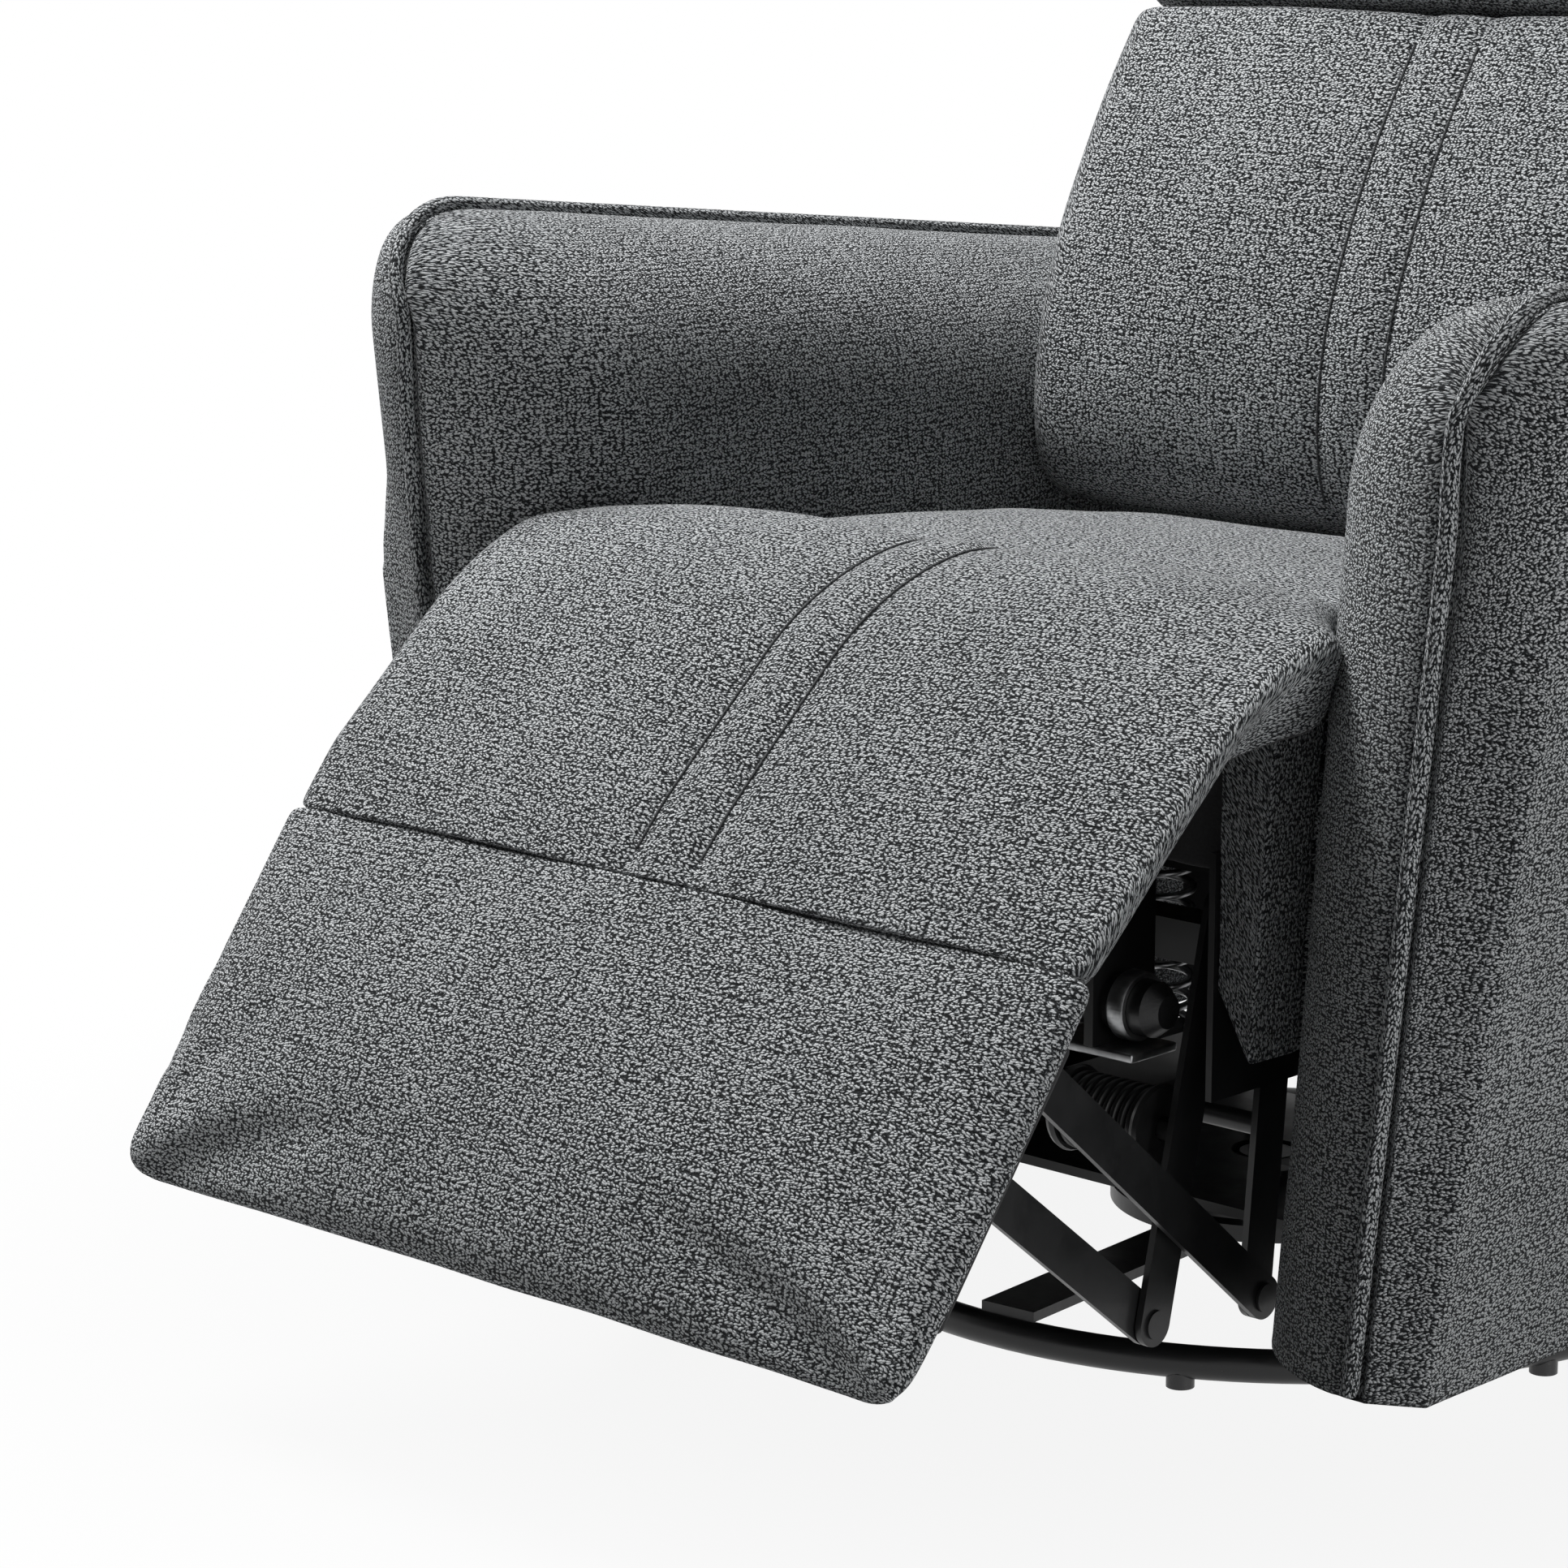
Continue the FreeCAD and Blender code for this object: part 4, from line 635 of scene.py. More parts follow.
def leg_pad():
    def crown(x, s):
        fade = min(s / 0.05, (PAD_LENGTH - s) / 0.04, 1.0)
        return lobes(x, PAD_WIDE, 0.004 * (0.5 + 0.5 * fade), -0.005) - 0.004 * (1 - fade)

    def held(x, s, h):
        return h < 0.98 or on_stitches(x) or s < 0.018 or s > PAD_LENGTH - 0.004

    pad = cushion("leg_pad_cover", 2 * PAD_WIDE, PAD_LENGTH,
                  rims=(0.015, 0.03, 0.006), drops=(0.01, 0.026, 0.0008, 0.004),
                  thick=lambda x, s: PAD_THICK, crown=crown, place=on_leg_path, marks=SEWN_COLUMNS, underside=1)
    sharpen(pad, PAD_LENGTH)
    inflate(pad, held)
    draw_in_rows(pad)
    ripple(pad, 0.0012, 0.07)
    thread = stitches("leg_pad_stitches", pad, 0.014, PAD_LENGTH - 0.006)
    for piece in (soften(pad), thread):
        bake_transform(piece)
    settle(pad, None, "leg_pad", fill=0.8)
    settle(thread, None)


# Footrest: a crowned pad on a sloping board
PANEL_FORWARD, PANEL_HEIGHT = 0.527, 0.316
PANEL_ANGLE = math.radians(52.3)
PANEL_LENGTH, PANEL_HALF, PANEL_THICK = 0.225, 0.297, 0.0598
PANEL_TAPER = 0.98
TIP_TAPER, TIP_FROM, TIP_DEPTH, TIP_POWER = 0.25, 0.016, 0.044, 1.3


def on_panel(x, s, n):
    forward = PANEL_FORWARD + s * math.cos(PANEL_ANGLE) + n * math.sin(PANEL_ANGLE)
    height = PANEL_HEIGHT - s * math.sin(PANEL_ANGLE) + n * math.cos(PANEL_ANGLE)
    return Vector((x, -forward, height))


def on_tapered_panel(x, s, n):
    """The panel's edges are thin: the sides and the tip slant in under the pad to the board."""
    x *= 1 - PANEL_TAPER * max(-n - EDGE_DEPTH, 0.0) / PANEL_HALF
    s *= 1 - TIP_TAPER * (max(-n - TIP_FROM, 0.0) / TIP_DEPTH) ** TIP_POWER
    return on_panel(x, s, n)


def footrest_pad():
    def crown(x, s):
        return -0.004 * (x / PANEL_HALF) ** 2 - 0.005 * max(2 * (s / PANEL_LENGTH) - 1.0, 0.0) ** 2

    pad = cushion("footrest_cover", 2 * PANEL_HALF, PANEL_LENGTH,
                  rims=(0.018, 0.006, 0.016), drops=(0.011, 0.0008, 0.011, 0.004),
                  thick=lambda x, s: PANEL_THICK, crown=crown, place=on_tapered_panel, underside=1)
    sharpen(pad, 0.0)
    inflate(pad, lambda x, s, h: h < 0.98 or s < 0.004)
    ripple(pad, 0.0012, 0.08)
    settle(soften(pad), "footrest", "footrest_pad", fill=0.8)


def footrest_board():
    """The board under the footrest's pad, wrapped in lining."""
    corners = corner_sets(on_panel, rectangle((-0.241, 0.012), (0.241, 0.169)), (-0.0752, -0.0603))
    settle(block("footrest_board_wrap", corners, 0.012, 0.004, LINING), "footrest", "footrest_board")


# Seat: a plain crowned cushion between the arms, falling to the back
SEAT_FRONT, SEAT_DEPTH, SEAT_HALF = -0.255, 0.341, 0.246
SEAT_BASE, SEAT_TOP, SEAT_FALL = 0.3762, 0.4615, 0.034


def seat_line(s):
    return SEAT_TOP - SEAT_FALL * s / SEAT_DEPTH


def seat_cushion():
    pad = cushion("seat_cover", 0.497, SEAT_DEPTH,
                  rims=(0.026, 0.036, 0.03), drops=(0.016, 0.03, 0.018, 0.006),
                  thick=lambda x, s: seat_line(s) - SEAT_BASE,
                  crown=lambda x, s: -0.007 * (x / SEAT_HALF) ** 2 - 0.008,
                  place=lambda x, s, n: Vector((x, s + SEAT_FRONT, seat_line(s) + n)))
    inflate(pad, lambda x, s, h: h < 0.9 or s < 0.024)
    ripple(pad, 0.0012, 0.09)
    settle(soften(pad), "seat", "seat_cushion", fill=0.75)


# Back: depth is backward and height up, in a frame that leans
LEAN = math.radians(18)
BACK_Y, BACK_Z, BACK_THICK = 0.09, 0.428, 0.0378


def on_back(x, height, out):
    y = BACK_Y - out * math.cos(LEAN) + height * math.sin(LEAN)
    z = BACK_Z + out * math.sin(LEAN) + height * math.cos(LEAN)
    return Vector((x, y, z))


def bulge(height, crest, total, top_share=0.0):
    """Share of a cushion's full depth at a height: round up to its crest, then falling to its top."""
    if height < crest:
        return math.sqrt(max(1 - ((crest - height) / crest) ** 2, 0.0))
    return top_share + (1 - top_share) * math.cos(math.pi / 2 * min((height - crest) / (total - crest), 1.0))


def back_cushion():
    total, half = 0.318, 0.257

    def crown(x, s):
        out = 0.063 * bulge(s, 0.13, total, 0.45)
        return out + lobes(x, half, 0.004, -0.003 - 0.06 * out) - 0.004

    pad = cushion("back_cushion_cover", 2 * half, total,
                  rims=(0.016, 0.012, 0.01), drops=(0.01, 0.012, 0.006, 0.004),
                  thick=lambda x, s: BACK_THICK, crown=crown, place=on_back, marks=SEWN_COLUMNS)
    inflate(pad, lambda x, s, h: h < 0.98 or on_stitches(x) or s > total - 0.004)
    draw_in_rows(pad)
    ripple(pad, 0.0012, 0.08)
    settle(stitches("back_stitches", pad, 0.012, total - 0.012), "back")
    settle(soften(pad), "back", "back_cushion", fill=0.85)


def headrest():
    total, half, start = 0.288, 0.262, 0.321

    def crown(x, s):
        out = 0.066 * bulge(s, 0.11, total)
        return out - (0.008 + 0.12 * out) * (x / half) ** 2 - 0.003

    pad = cushion("headrest_cover", 2 * half, total,
                  rims=(0.03, 0.008, 0.02), drops=(0.018, 0.006, 0.016, 0.004),
                  thick=lambda x, s: BACK_THICK, crown=crown, place=lambda x, s, n: on_back(x, s + start, n))
    inflate(pad, lambda x, s, h: h < 0.6 or s < 0.004)
    ripple(pad, 0.0014, 0.08)
    settle(soften(pad), "back", "headrest_pillow", fill=0.85)


def back_apron():
    """The cover of the back carried on below its cushion, behind the seat."""
    corners = corner_sets(on_back, rectangle((-0.212, -0.07), (0.212, 0.0)), (-0.026, -0.0375))
    apron = block("back_apron", corners, 0.01, 0.003, FABRIC)
    ripple(apron, 0.0012, 0.05)
    settle(apron, "back")


def outside_back():
    """The upholstered shell behind the back frame: rear face, sides and a rounded top."""
    front, rear, half, corner = 0.0384, 0.0956, 0.252, 0.026
    low, high, round_top, swelling, wall_thick = 0.02, 0.606, 0.03, 0.007, 0.009
    face_rows, top_rows, lid_rows, side_columns, corner_columns, face_columns = 70, 8, 4, 5, 6, 30
    levels = [(low + (high - round_top - low) * k / face_rows, 0.0) for k in range(face_rows)]
    for k in range(top_rows + 1):
        angle = math.pi / 2 * k / top_rows
        levels.append((high - round_top * (1 - math.sin(angle)), round_top * (1 - math.cos(angle))))
    for k in range(1, lid_rows + 1):
        levels.append((high, round_top + (rear - front - round_top) * k / lid_rows))
    rows = []
    for height, shrink in levels:
        back = rear - shrink
        wide = half - 0.4 * min(shrink, round_top)
        turn = min(corner, back - front)
        profile = [(wide, front + (back - turn - front) * k / side_columns) for k in range(side_columns)]
        for k in range(corner_columns + 1):
            angle = math.pi / 2 * k / corner_columns
            profile.append((wide - turn * (1 - math.cos(angle)), back - turn * (1 - math.sin(angle))))
        span = wide - turn
        for k in range(1, face_columns):
            profile.append((span * (1 - k / face_columns), back))
        profile.append((0.0, back))
        profile += [(-x, depth) for x, depth in profile[-2::-1]]
        swell = swelling * math.sin(math.pi * min((height - low) / (high - low), 1.0))
        line = []
        for x, depth in profile:
            puff = swell * max(1 - (x / span) ** 2, 0.0) if abs(x) < span else 0.0
            line.append(on_back(x, height, -(depth + puff)))
        rows.append(line)
    work = Patchwork()
    work.patch(rows)
    shell = work.build("outside_back", (FABRIC, LINING))
    wall = shell.modifiers.new("Wall", "SOLIDIFY")
    wall.thickness = wall_thick
    wall.offset = -1.0
    settle(soften(shell), "back", "back_shell", fill=0.4)


# Arms: a slice is an inner face that rolls over the top and a flatter outer face; a seam parts the two
ARM_FRONT, ARM_BACK, ARM_BASE, ARM_TOP, ARM_FALL = -0.357, 0.3, 0.071, 0.627, 0.094
ARM_NOSE, ARM_STRIP, ARM_CORNER = 0.077, 0.0159, 0.054
ARM_ROLL, ARM_SHOULDER, ARM_SEAM_GAP = 0.122, 0.05, 0.008
ARM_MIDDLE = (ARM_FRONT + ARM_BACK) / 2
SEAM_FOOT, SEAM_LEAN, SEAM_SINK = 0.326, 0.1, 0.006
INNER_FOOT, INNER_LEAN, INNER_FLARE, INNER_NOSE, INNER_POWER = 0.226, 0.0745, 0.014, 0.085, 1.7
OUTER_FOOT, OUTER_LEAN, OUTER_NOSE = 0.361, 0.157, 0.06
OUTER_SEAM, OUTER_SEAM_WIDTH, OUTER_SEAM_DEPTH = 0.44, 0.008, 0.003
CRISP_TOP, CRISP_FADE, CRISPNESS = OUTER_SEAM - 0.02, 0.06, 0.8  # the outer front corner is crisp up to here
WELT_RADIUS, WELT_RISE, WELT_STEP = 0.0048, 0.0075, 0.006
FACE_ROWS, ROLL_ROWS, NOSE_COLUMNS, RUN_COLUMNS = 54, 24, 12, 70


def arm_depths():
    nose = [ARM_NOSE * (1 - math.cos(math.pi / 2 * k / NOSE_COLUMNS)) for k in range(NOSE_COLUMNS)]
    rest = ARM_BACK - ARM_FRONT - ARM_NOSE
    return nose + [ARM_NOSE + rest * k / RUN_COLUMNS for k in range(RUN_COLUMNS + 1)]


def drawn_in(depth, reach, power=2.0):
    """Share of the way from a face to the seam at a depth behind the front, round a quarter ellipse."""
    return 1 - (1 - (1 - min(depth / reach, 1.0)) ** power) ** (1 / power)


def seam_x(z):
    return SEAM_FOOT + SEAM_LEAN * (z - ARM_BASE)


def inner_x(depth, z):
    flare = INNER_FLARE * max(ARM_FRONT + depth - ARM_MIDDLE, 0.0) / (ARM_BACK - ARM_MIDDLE)
    face = INNER_FOOT + INNER_LEAN * (z - ARM_BASE) + flare
    return face + drawn_in(depth, INNER_NOSE, INNER_POWER) * (seam_x(z) - face - ARM_SEAM_GAP)


def outer_x(depth, z):
    face = OUTER_FOOT + OUTER_LEAN * (z - ARM_BASE)
    soft = along(z, CRISP_TOP, CRISP_FADE)
    sharp_in = 1 - min(depth / ARM_STRIP, 1.0)
    inward = sharp_in + (drawn_in(depth, OUTER_NOSE) - sharp_in) * soft * soft * (3 - 2 * soft)
    return face - inward * (face - seam_x(z) - ARM_SEAM_GAP)


def arm_slice(depth):
    """Points of one upright slice: up the inner side to the seam, then down the outer side."""
    y = ARM_FRONT + depth
    top = ARM_TOP - ARM_FALL * max(depth - ARM_CORNER, 0.0)
    if depth < ARM_CORNER:
        top -= ARM_CORNER - math.sqrt(ARM_CORNER ** 2 - (ARM_CORNER - depth) ** 2)
    roll_z = top - ARM_ROLL * (1 - 0.5 * drawn_in(depth, ARM_NOSE))
    shoulder_z = top - ARM_SHOULDER
    roll_x, shoulder_x = inner_x(depth, roll_z), outer_x(depth, shoulder_z)
    ridge_x = shoulder_x - ARM_SHOULDER / (ARM_ROLL + ARM_SHOULDER) * (shoulder_x - roll_x)
    gap = min(ARM_SEAM_GAP, 0.45 * (shoulder_x - ridge_x), 0.45 * (ridge_x - roll_x))
    inner, outer = [], []
    for k in range(FACE_ROWS):
        z = ARM_BASE + (roll_z - ARM_BASE) * k / FACE_ROWS
        inner.append(Vector((inner_x(depth, z), y, z)))
        z = ARM_BASE + (shoulder_z - ARM_BASE) * k / FACE_ROWS
        outer.append(Vector((outer_x(depth, z), y, z)))
    for k in range(ROLL_ROWS + 1):
        angle = math.pi / 2 * k / ROLL_ROWS
        reach, rise = math.cos(angle), math.sin(angle)
        x = ridge_x - gap - (ridge_x - gap - roll_x) * reach
        inner.append(Vector((x, y, roll_z + (top - roll_z) * rise)))
        x = ridge_x + gap + (shoulder_x - ridge_x - gap) * reach
        outer.append(Vector((x, y, shoulder_z + (top - shoulder_z) * rise)))
    return inner, outer


def across_arm(first, last, sink=Vector((0, 0, 0))):
    """Five points from the inner to the outer edge of the seam, sunk in the middle."""
    middle = first.lerp(last, 0.5) + sink
    return [first, first.lerp(middle, 0.6) + sink * 0.25, middle, last.lerp(middle, 0.6) + sink * 0.25, last]


def arm_crispness(ends):
    """The arm is crisp along its base and down the outer corner of its front."""
    if all(spot.z < ARM_BASE + SAME for spot in ends):
        return 1.0
    at_corner = all(abs(spot.y - ARM_FRONT - ARM_STRIP) < 1e-4 and spot.z < CRISP_TOP
                    and abs(spot.x) > seam_x(spot.z) for spot in ends)
    return CRISPNESS if at_corner else 0.0


def arm(side, name):
    slices = [arm_slice(depth) for depth in arm_depths()]
    rows = FACE_ROWS + ROLL_ROWS + 1
    inner = [[part[0][i] for part in slices] for i in range(rows)]
    outer = [[part[1][i] for part in slices] for i in range(rows)]
    for row in outer:
        for j, point in enumerate(row):
            point.x -= groove(point.z - OUTER_SEAM, OUTER_SEAM_WIDTH, OUTER_SEAM_DEPTH) * along(j, 3, 4)
    # The seam's two edges and the way into the arm: up the front, round the corner and along the top
    border = [(inner[i][0], outer[i][0], Vector((0, 1, 0))) for i in range(rows)]
    for j in range(1, len(slices)):
        height = inner[-1][j].z - inner[-1][0].z
        share = along(height, 0.0, ARM_CORNER) if ARM_FRONT + ARM_CORNER > inner[-1][j].y else 1.0
        turn = math.pi / 2 * share
        border.append((inner[-1][j], outer[-1][j], Vector((0, math.cos(turn), -math.sin(turn)))))
    seam = [across_arm(first, last, inward * SEAM_SINK) for first, last, inward in border]
    welt = [row[2] - inward * WELT_RISE for row, (_, _, inward) in zip(seam, border)]
    under = [across_arm(inner[0][j], outer[0][j]) for j in range(len(slices))]
    under[0] = seam[0]
    rear = [across_arm(inner[i][-1], outer[i][-1]) for i in range(rows)]
    rear[-1] = seam[-1]
    rear[0] = under[-1]

    def mirrored(row):
        return [Vector((side * point.x, point.y, point.z)) for point in row]

    work = Patchwork()
    for table in (inner, outer, seam, under, rear):
        work.patch([mirrored(row) for row in table], material=int(table is under), turned=table is seam)
    body = work.build(f"{name}_cover", (FABRIC, LINING))
    crease(body, arm_crispness)
    ripple(body, 0.0011, 0.09)
    settle(soften(body), "seat", name, fill=0.9)

    cord = Patchwork()
    path = resample(mirrored(welt), WELT_STEP)
    add_tube(cord, path[1:-1], WELT_RADIUS, 12)
    settle(soften(cord.build(f"{name}_welt", (FABRIC,))), "seat")


def upright(x, z, y):
    return Vector((x, y, z))


def rectangle(low, high):
    return (low, (high[0], low[1]), high, (low[0], high[1]))


def corner_sets(place, outline, depths):
    """The corners of an outline set down at each of two depths."""
    return [[place(across, up, depth) for across, up in outline] for depth in depths]


def box_corners(low, high):
    return corner_sets(upright, rectangle((low.x, low.z), (high.x, high.z)), (low.y, high.y))


def block(name, corners, step, bevel, material):
    """A straight-sided form from the four corners of its front and of its rear, with rounded edges."""
    front, rear = corners
    work = Patchwork()
    sides = [front, rear]
    for k in range(4):
        after = (k + 1) % 4
        sides.append((front[k], front[after], rear[after], rear[k]))
    for a, b, c, d in sides:
        columns = max(1, round(max((b - a).length, (c - d).length) / step))
        rows = max(1, round(max((d - a).length, (c - b).length) / step))
        table = []
        for i in range(rows + 1):
            left, right = a.lerp(d, i / rows), b.lerp(c, i / rows)
            table.append([left.lerp(right, j / columns) for j in range(columns + 1)])
        work.patch(table)
    piece = work.build(name, (material,))
    edge = piece.modifiers.new("Edge", "BEVEL")
    edge.width = bevel
    edge.segments = 3
    edge.limit_method = "ANGLE"
    edge.angle_limit = math.radians(50)
    return piece


# Section of a side rail and of its front end, as X and Z
RAIL_SECTION = ((0.2165, 0.222), (0.2368, 0.222), (0.248, 0.372), (0.2165, 0.372))
RAIL_END_SECTION = ((0.2165, 0.258), (0.2368, 0.222), (0.2503, 0.404), (0.2165, 0.404))


def side_rail(side, name):
    """A seat rail in fabric: its outer face leans with the arm, its front end stands under the leg pad."""
    def place(x, z, y):
        return upright(side * x, z, y)

    corners = corner_sets(place, RAIL_SECTION, (-0.288, 0.19))
    settle(block(f"{name}_wrap", corners, 0.012, 0.004, FABRIC), "seat", name)
    corners = corner_sets(place, RAIL_END_SECTION, (-0.3305, -0.2885))
    front = block(f"{name}_front", corners, 0.008, 0.004, FABRIC)
    ripple(front, 0.0012, 0.03)
    settle(front, "seat")


def front_lining():
    """Black lining over the front rail, hanging in shallow folds from the leg pad to the tube."""
    low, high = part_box("front_rail")
    low.z += 0.0005
    high.z = 0.402
    low.x, high.x = -0.2155, 0.2155
    piece = block("front_rail_lining", box_corners(low, high), 0.006, 0.003, LINING)
    for vert in piece.data.vertices:
        if vert.co.y < low.y + 0.001:
            fold = noise.noise(Vector((vert.co.x * 34, 0.0, vert.co.z * 6)))
            vert.co.y += 0.0045 * min(fold - 0.2, 0.0)
    settle(piece, "seat", "front_rail")


def edge_foam():
    low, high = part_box("edge_foam")
    piece = block("edge_foam_roll", box_corners(low, high), 0.012, 0.009, FABRIC)
    settle(piece, "seat", "edge_foam", fill=0.6)


def rear_panel():
    low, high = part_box("rear_panel")
    panel = cushion("rear_panel_cover", high.x - low.x, high.z - low.z,
                    rims=(0.012, 0.012, 0.012), drops=(0.005, 0.005, 0.005, 0.002),
                    thick=lambda x, s: high.y - low.y - 0.002, crown=lambda x, s: 0.002,
                    place=lambda x, s, n: Vector((x, high.y - 0.001 + n, low.z + s)), step=0.012, underside=1)
    settle(soften(panel), "seat", "rear_panel", fill=0.3)


def rear_flap():
    """Fabric between the rear panel and the shell of the back."""
    foot_half, foot_z, head_half, head = 0.224, 0.284, 0.23, 0.034
    corners = []
    for foot_y, out in ((0.2025, -0.0962), (0.2065, -0.1002)):
        corners.append([Vector((-foot_half, foot_y, foot_z)), Vector((foot_half, foot_y, foot_z)),
                        on_back(head_half, head, out), on_back(-head_half, head, out)])
    flap = block("rear_flap", corners, 0.008, 0.0012, FABRIC)
    ripple(flap, 0.0012, 0.04)
    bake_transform(flap)
    settle(flap, None)


def rocker_springs():
    """Coil springs between the deck and the seat."""
    low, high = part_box("rocker_springs")
    wire, radius, turns, steps = 0.0025, 0.013, 7, 24
    foot, head = low.z + wire, high.z - wire
    work = Patchwork()
    for x in (low.x + wire + radius, high.x - wire - radius):
        for y in (low.y + wire + radius, high.y - wire - radius):
            path = []
            for k in range(turns * steps + 1):
                angle = 2 * math.pi * k / steps
                path.append(Vector((x + radius * math.cos(angle), y + radius * math.sin(angle),
                                    foot + (head - foot) * k / (turns * steps))))
            add_tube(work, path, wire, 12)
    springs = work.build("rocker_spring_coils", (SURFACES["bright_steel"],))
    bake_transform(springs)
    settle(springs, None, "rocker_springs", slot="bright_steel")


# Lines along X, as distances forward and up
TIE_ROD, FRONT_TUBE = (0.3349, 0.1804), (0.325, 0.24)
LATHE_SIDES = 40


def lathe(name, side, profile, centre, body, slot):
    """A ring round a line along X, on one side: profile is a closed loop of distances along X and radii."""
    forward, height = centre
    work = Patchwork()
    rows = []
    for x, radius in (*profile, profile[0]):
        row = []
        for k in range(LATHE_SIDES + 1):
            angle = 2 * math.pi * k / LATHE_SIDES
            reach, rise = radius * math.cos(angle), radius * math.sin(angle)
            row.append(Vector((side * x, reach - forward, height + rise)))
        rows.append(row)
    work.patch(rows)
    piece = work.build(name, (SURFACES[slot],))
    piece.data.set_sharp_from_angle(angle=math.radians(40))
    settle(piece, body, slot=slot)


# Drive spring: radii of its bore, its wound wire and its discs; one wound turn as shares along and outward
DRIVE_BORE, DRIVE_CORE, DRIVE_WIRE, DRIVE_DISC, DRIVE_RIM = 0.0066, 0.0175, 0.0035, 0.0225, 0.0235
DRIVE_COILS, DRIVE_PITCH, DRIVE_START, DRIVE_EDGE = 9, 0.0057, 0.129, 0.018
DISC_THICK = 0.005
COIL_SECTION = ((0.12, 0.6), (0.3, 0.95), (0.5, 1.0), (0.7, 0.95), (0.88, 0.6), (1.0, 0.0))


def drive_springs():
    """Close-wound return springs between two discs on the tie rod, beside each front link."""
    first, last = DRIVE_START, DRIVE_START + DRIVE_PITCH * DRIVE_COILS
    profile = [(first - DISC_THICK, DRIVE_BORE), (first - DISC_THICK, DRIVE_DISC),
               (first - DISC_THICK / 2, DRIVE_RIM), (first, DRIVE_DISC), (first, DRIVE_EDGE)]
    for coil in range(DRIVE_COILS):
        start = first + DRIVE_PITCH * coil
        for share, rise in COIL_SECTION:
            profile.append((start + DRIVE_PITCH * share, DRIVE_CORE + DRIVE_WIRE * rise))
    profile += [(last, DRIVE_DISC), (last + DISC_THICK / 2, DRIVE_RIM), (last + DISC_THICK, DRIVE_DISC),
                (last + DISC_THICK, DRIVE_BORE)]
    for side, name in SIDES:
        lathe(f"drive_spring_{name}", side, profile, TIE_ROD, "front_links", "black_steel")


CLAMP_SECTION = ((0.152, 0.0153), (0.152, 0.0178), (0.1535, 0.0188), (0.1615, 0.0188), (0.163, 0.0178),
                 (0.163, 0.0153))
HANGER_PLATE_X, HANGER_PLATE_Y, HANGER_PLATE_Z = (0.108, 0.17), (-0.343, -0.305), (0.2135, 0.2185)


def tube_clamps():
    """A split ring round each end of the front tube and a small plate under each hanger."""
    for side, name in SIDES:
        lathe(f"tube_clamp_{name}", side, CLAMP_SECTION, FRONT_TUBE, "seat", "bright_steel")
        places = zip(sorted(side * x for x in HANGER_PLATE_X), HANGER_PLATE_Y, HANGER_PLATE_Z)
        corners = box_corners(*(Vector(place) for place in places))
        plate = block(f"hanger_plate_{name}", corners, 0.01, 0.0012, SURFACES["bright_steel"])
        settle(plate, "seat", slot="bright_steel")


def dress_solids():
    """Finish the solids that show as they are: paint, plating, wood and plastic."""
    slots = {part["node"]: part["material_slot"] for part in frame["record"]["subparts"]}
    for name, item in NODES.items():
        if item.hide_render:
            continue
        mesh = item.data
        mesh.materials.clear()
        mesh.materials.append(SURFACES[slots[name]])
        mesh.polygons.foreach_set("use_smooth", [True] * len(mesh.polygons))
        mesh.set_sharp_from_angle(angle=math.radians(32))


# Studio: half the floor's width, where its white begins and is full, and the lamps' places, sizes and powers
FLOOR_HALF, WHITE_FROM, WHITE_FULL, WHITE_LEAST = 30, 0.35, 1.0, 0.9
LAMPS = (
    ("top", (-1.2, -0.45, 3.1), 1.6, 112.0),
    ("left", (-2.9, -1.3, 1.2), 1.2, 9.0),
    ("right", (2.9, -0.5, 0.45), 0.9, 23.0),
)
LAMP_AIM = Vector((0.0, -0.1, 0.4))
WORLD_COLOUR, WORLD_STRENGTH = (0.96, 0.98, 1.0, 1.0), 0.03


def surroundings():
    """A world that shows white and lights the object faintly."""
    world = Shader("studio", bpy.data.worlds)
    scene.world = world.owner
    shown = world.add("Background", (1.0, 1.0, 1.0, 1.0), 1.0)
    lit = world.add("Background", WORLD_COLOUR, WORLD_STRENGTH)
    pick = world.add("MixShader", world.seen(), lit.outputs[0], shown.outputs[0])
    world.feed(world.tree.nodes["World Output"].inputs[0], pick.outputs[0])


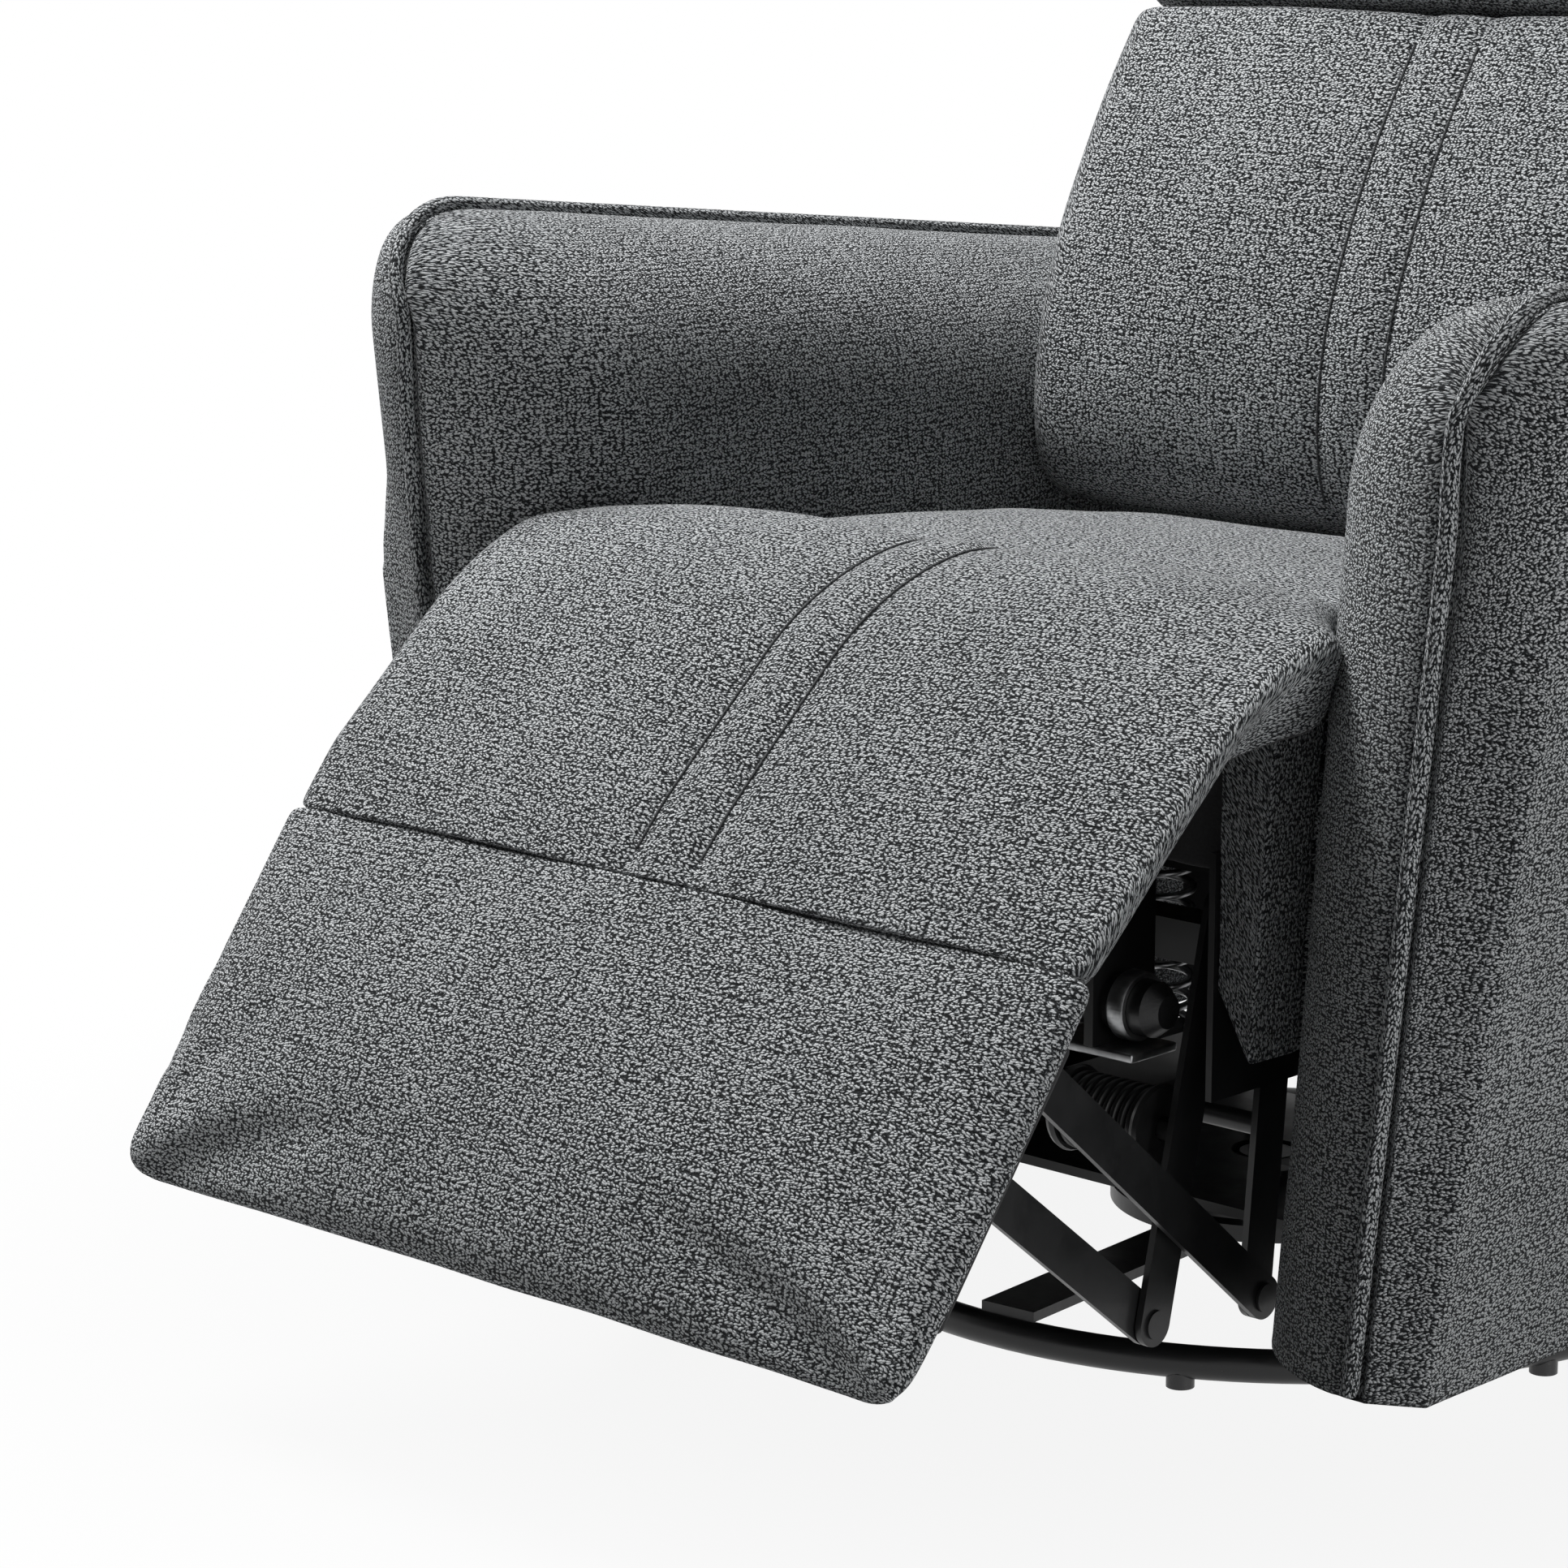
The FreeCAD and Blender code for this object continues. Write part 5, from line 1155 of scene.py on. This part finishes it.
def pale_floor():
    """A floor that carries the shadow near the chair and turns white away from it."""
    paper = Shader("pale_floor")
    spot = paper.place()
    grain = paper.noise(spot, 300.0, 3.0)
    paper.paint(paper.ramp(grain, ((0.3, (0.42, 0.42, 0.42)), (0.7, (0.46, 0.46, 0.46)))), 0.95)
    paper.constant(Specular_IOR_Level=0.1)
    away = paper.add("VectorMath", spot, operation="LENGTH").outputs["Value"]
    whiter = paper.spread(away, WHITE_FROM, WHITE_FULL, WHITE_LEAST, 1.0, smooth=True)
    glow = paper.add("Emission").outputs[0]
    share = paper.math("MULTIPLY", paper.seen(), whiter)
    mix = paper.add("MixShader", share, paper.surface.outputs[0], glow)
    paper.feed(paper.tree.nodes["Material Output"].inputs["Surface"], mix.outputs[0])
    return paper.owner


def studio():
    """Pale floor, white surroundings and large soft lamps."""
    surroundings()
    ground = bpy.data.meshes.new("floor")
    corners = rectangle((-FLOOR_HALF, -FLOOR_HALF), (FLOOR_HALF, FLOOR_HALF))
    ground.from_pydata([(x, y, 0) for x, y in corners], [], [(0, 1, 2, 3)])
    ground.materials.append(pale_floor())
    floor = bpy.data.objects.new("floor", ground)
    scene.collection.objects.link(floor)
    for name, place, size, power in LAMPS:
        light = bpy.data.lights.new(name, "AREA")
        light.shape = "DISK"
        light.size = size
        light.energy = power
        holder = bpy.data.objects.new(name, light)
        holder.location = place
        holder.rotation_euler = (LAMP_AIM - Vector(place)).to_track_quat("-Z", "Y").to_euler()
        scene.collection.objects.link(holder)


def camera():
    lens = bpy.data.cameras.new("camera")
    lens.sensor_width = 36.0
    lens.lens = 104.19
    holder = bpy.data.objects.new("camera", lens)
    holder.location = (1.6138, -2.1299, 0.8415)
    holder.rotation_euler = Vector((-0.6734, 0.7104, -0.2044)).to_track_quat("-Z", "Y").to_euler()
    scene.collection.objects.link(holder)
    scene.camera = holder


camera()
studio()
leg_pad()
footrest_pad()
footrest_board()
front_lining()
seat_cushion()
back_cushion()
headrest()
back_apron()
outside_back()
for side, name in SIDES:
    arm(side, f"arm_{name}")
for side, name in SIDES:
    side_rail(side, f"side_rail_{name}")
edge_foam()
rear_panel()
rear_flap()
rocker_springs()
drive_springs()
tube_clamps()
dress_solids()
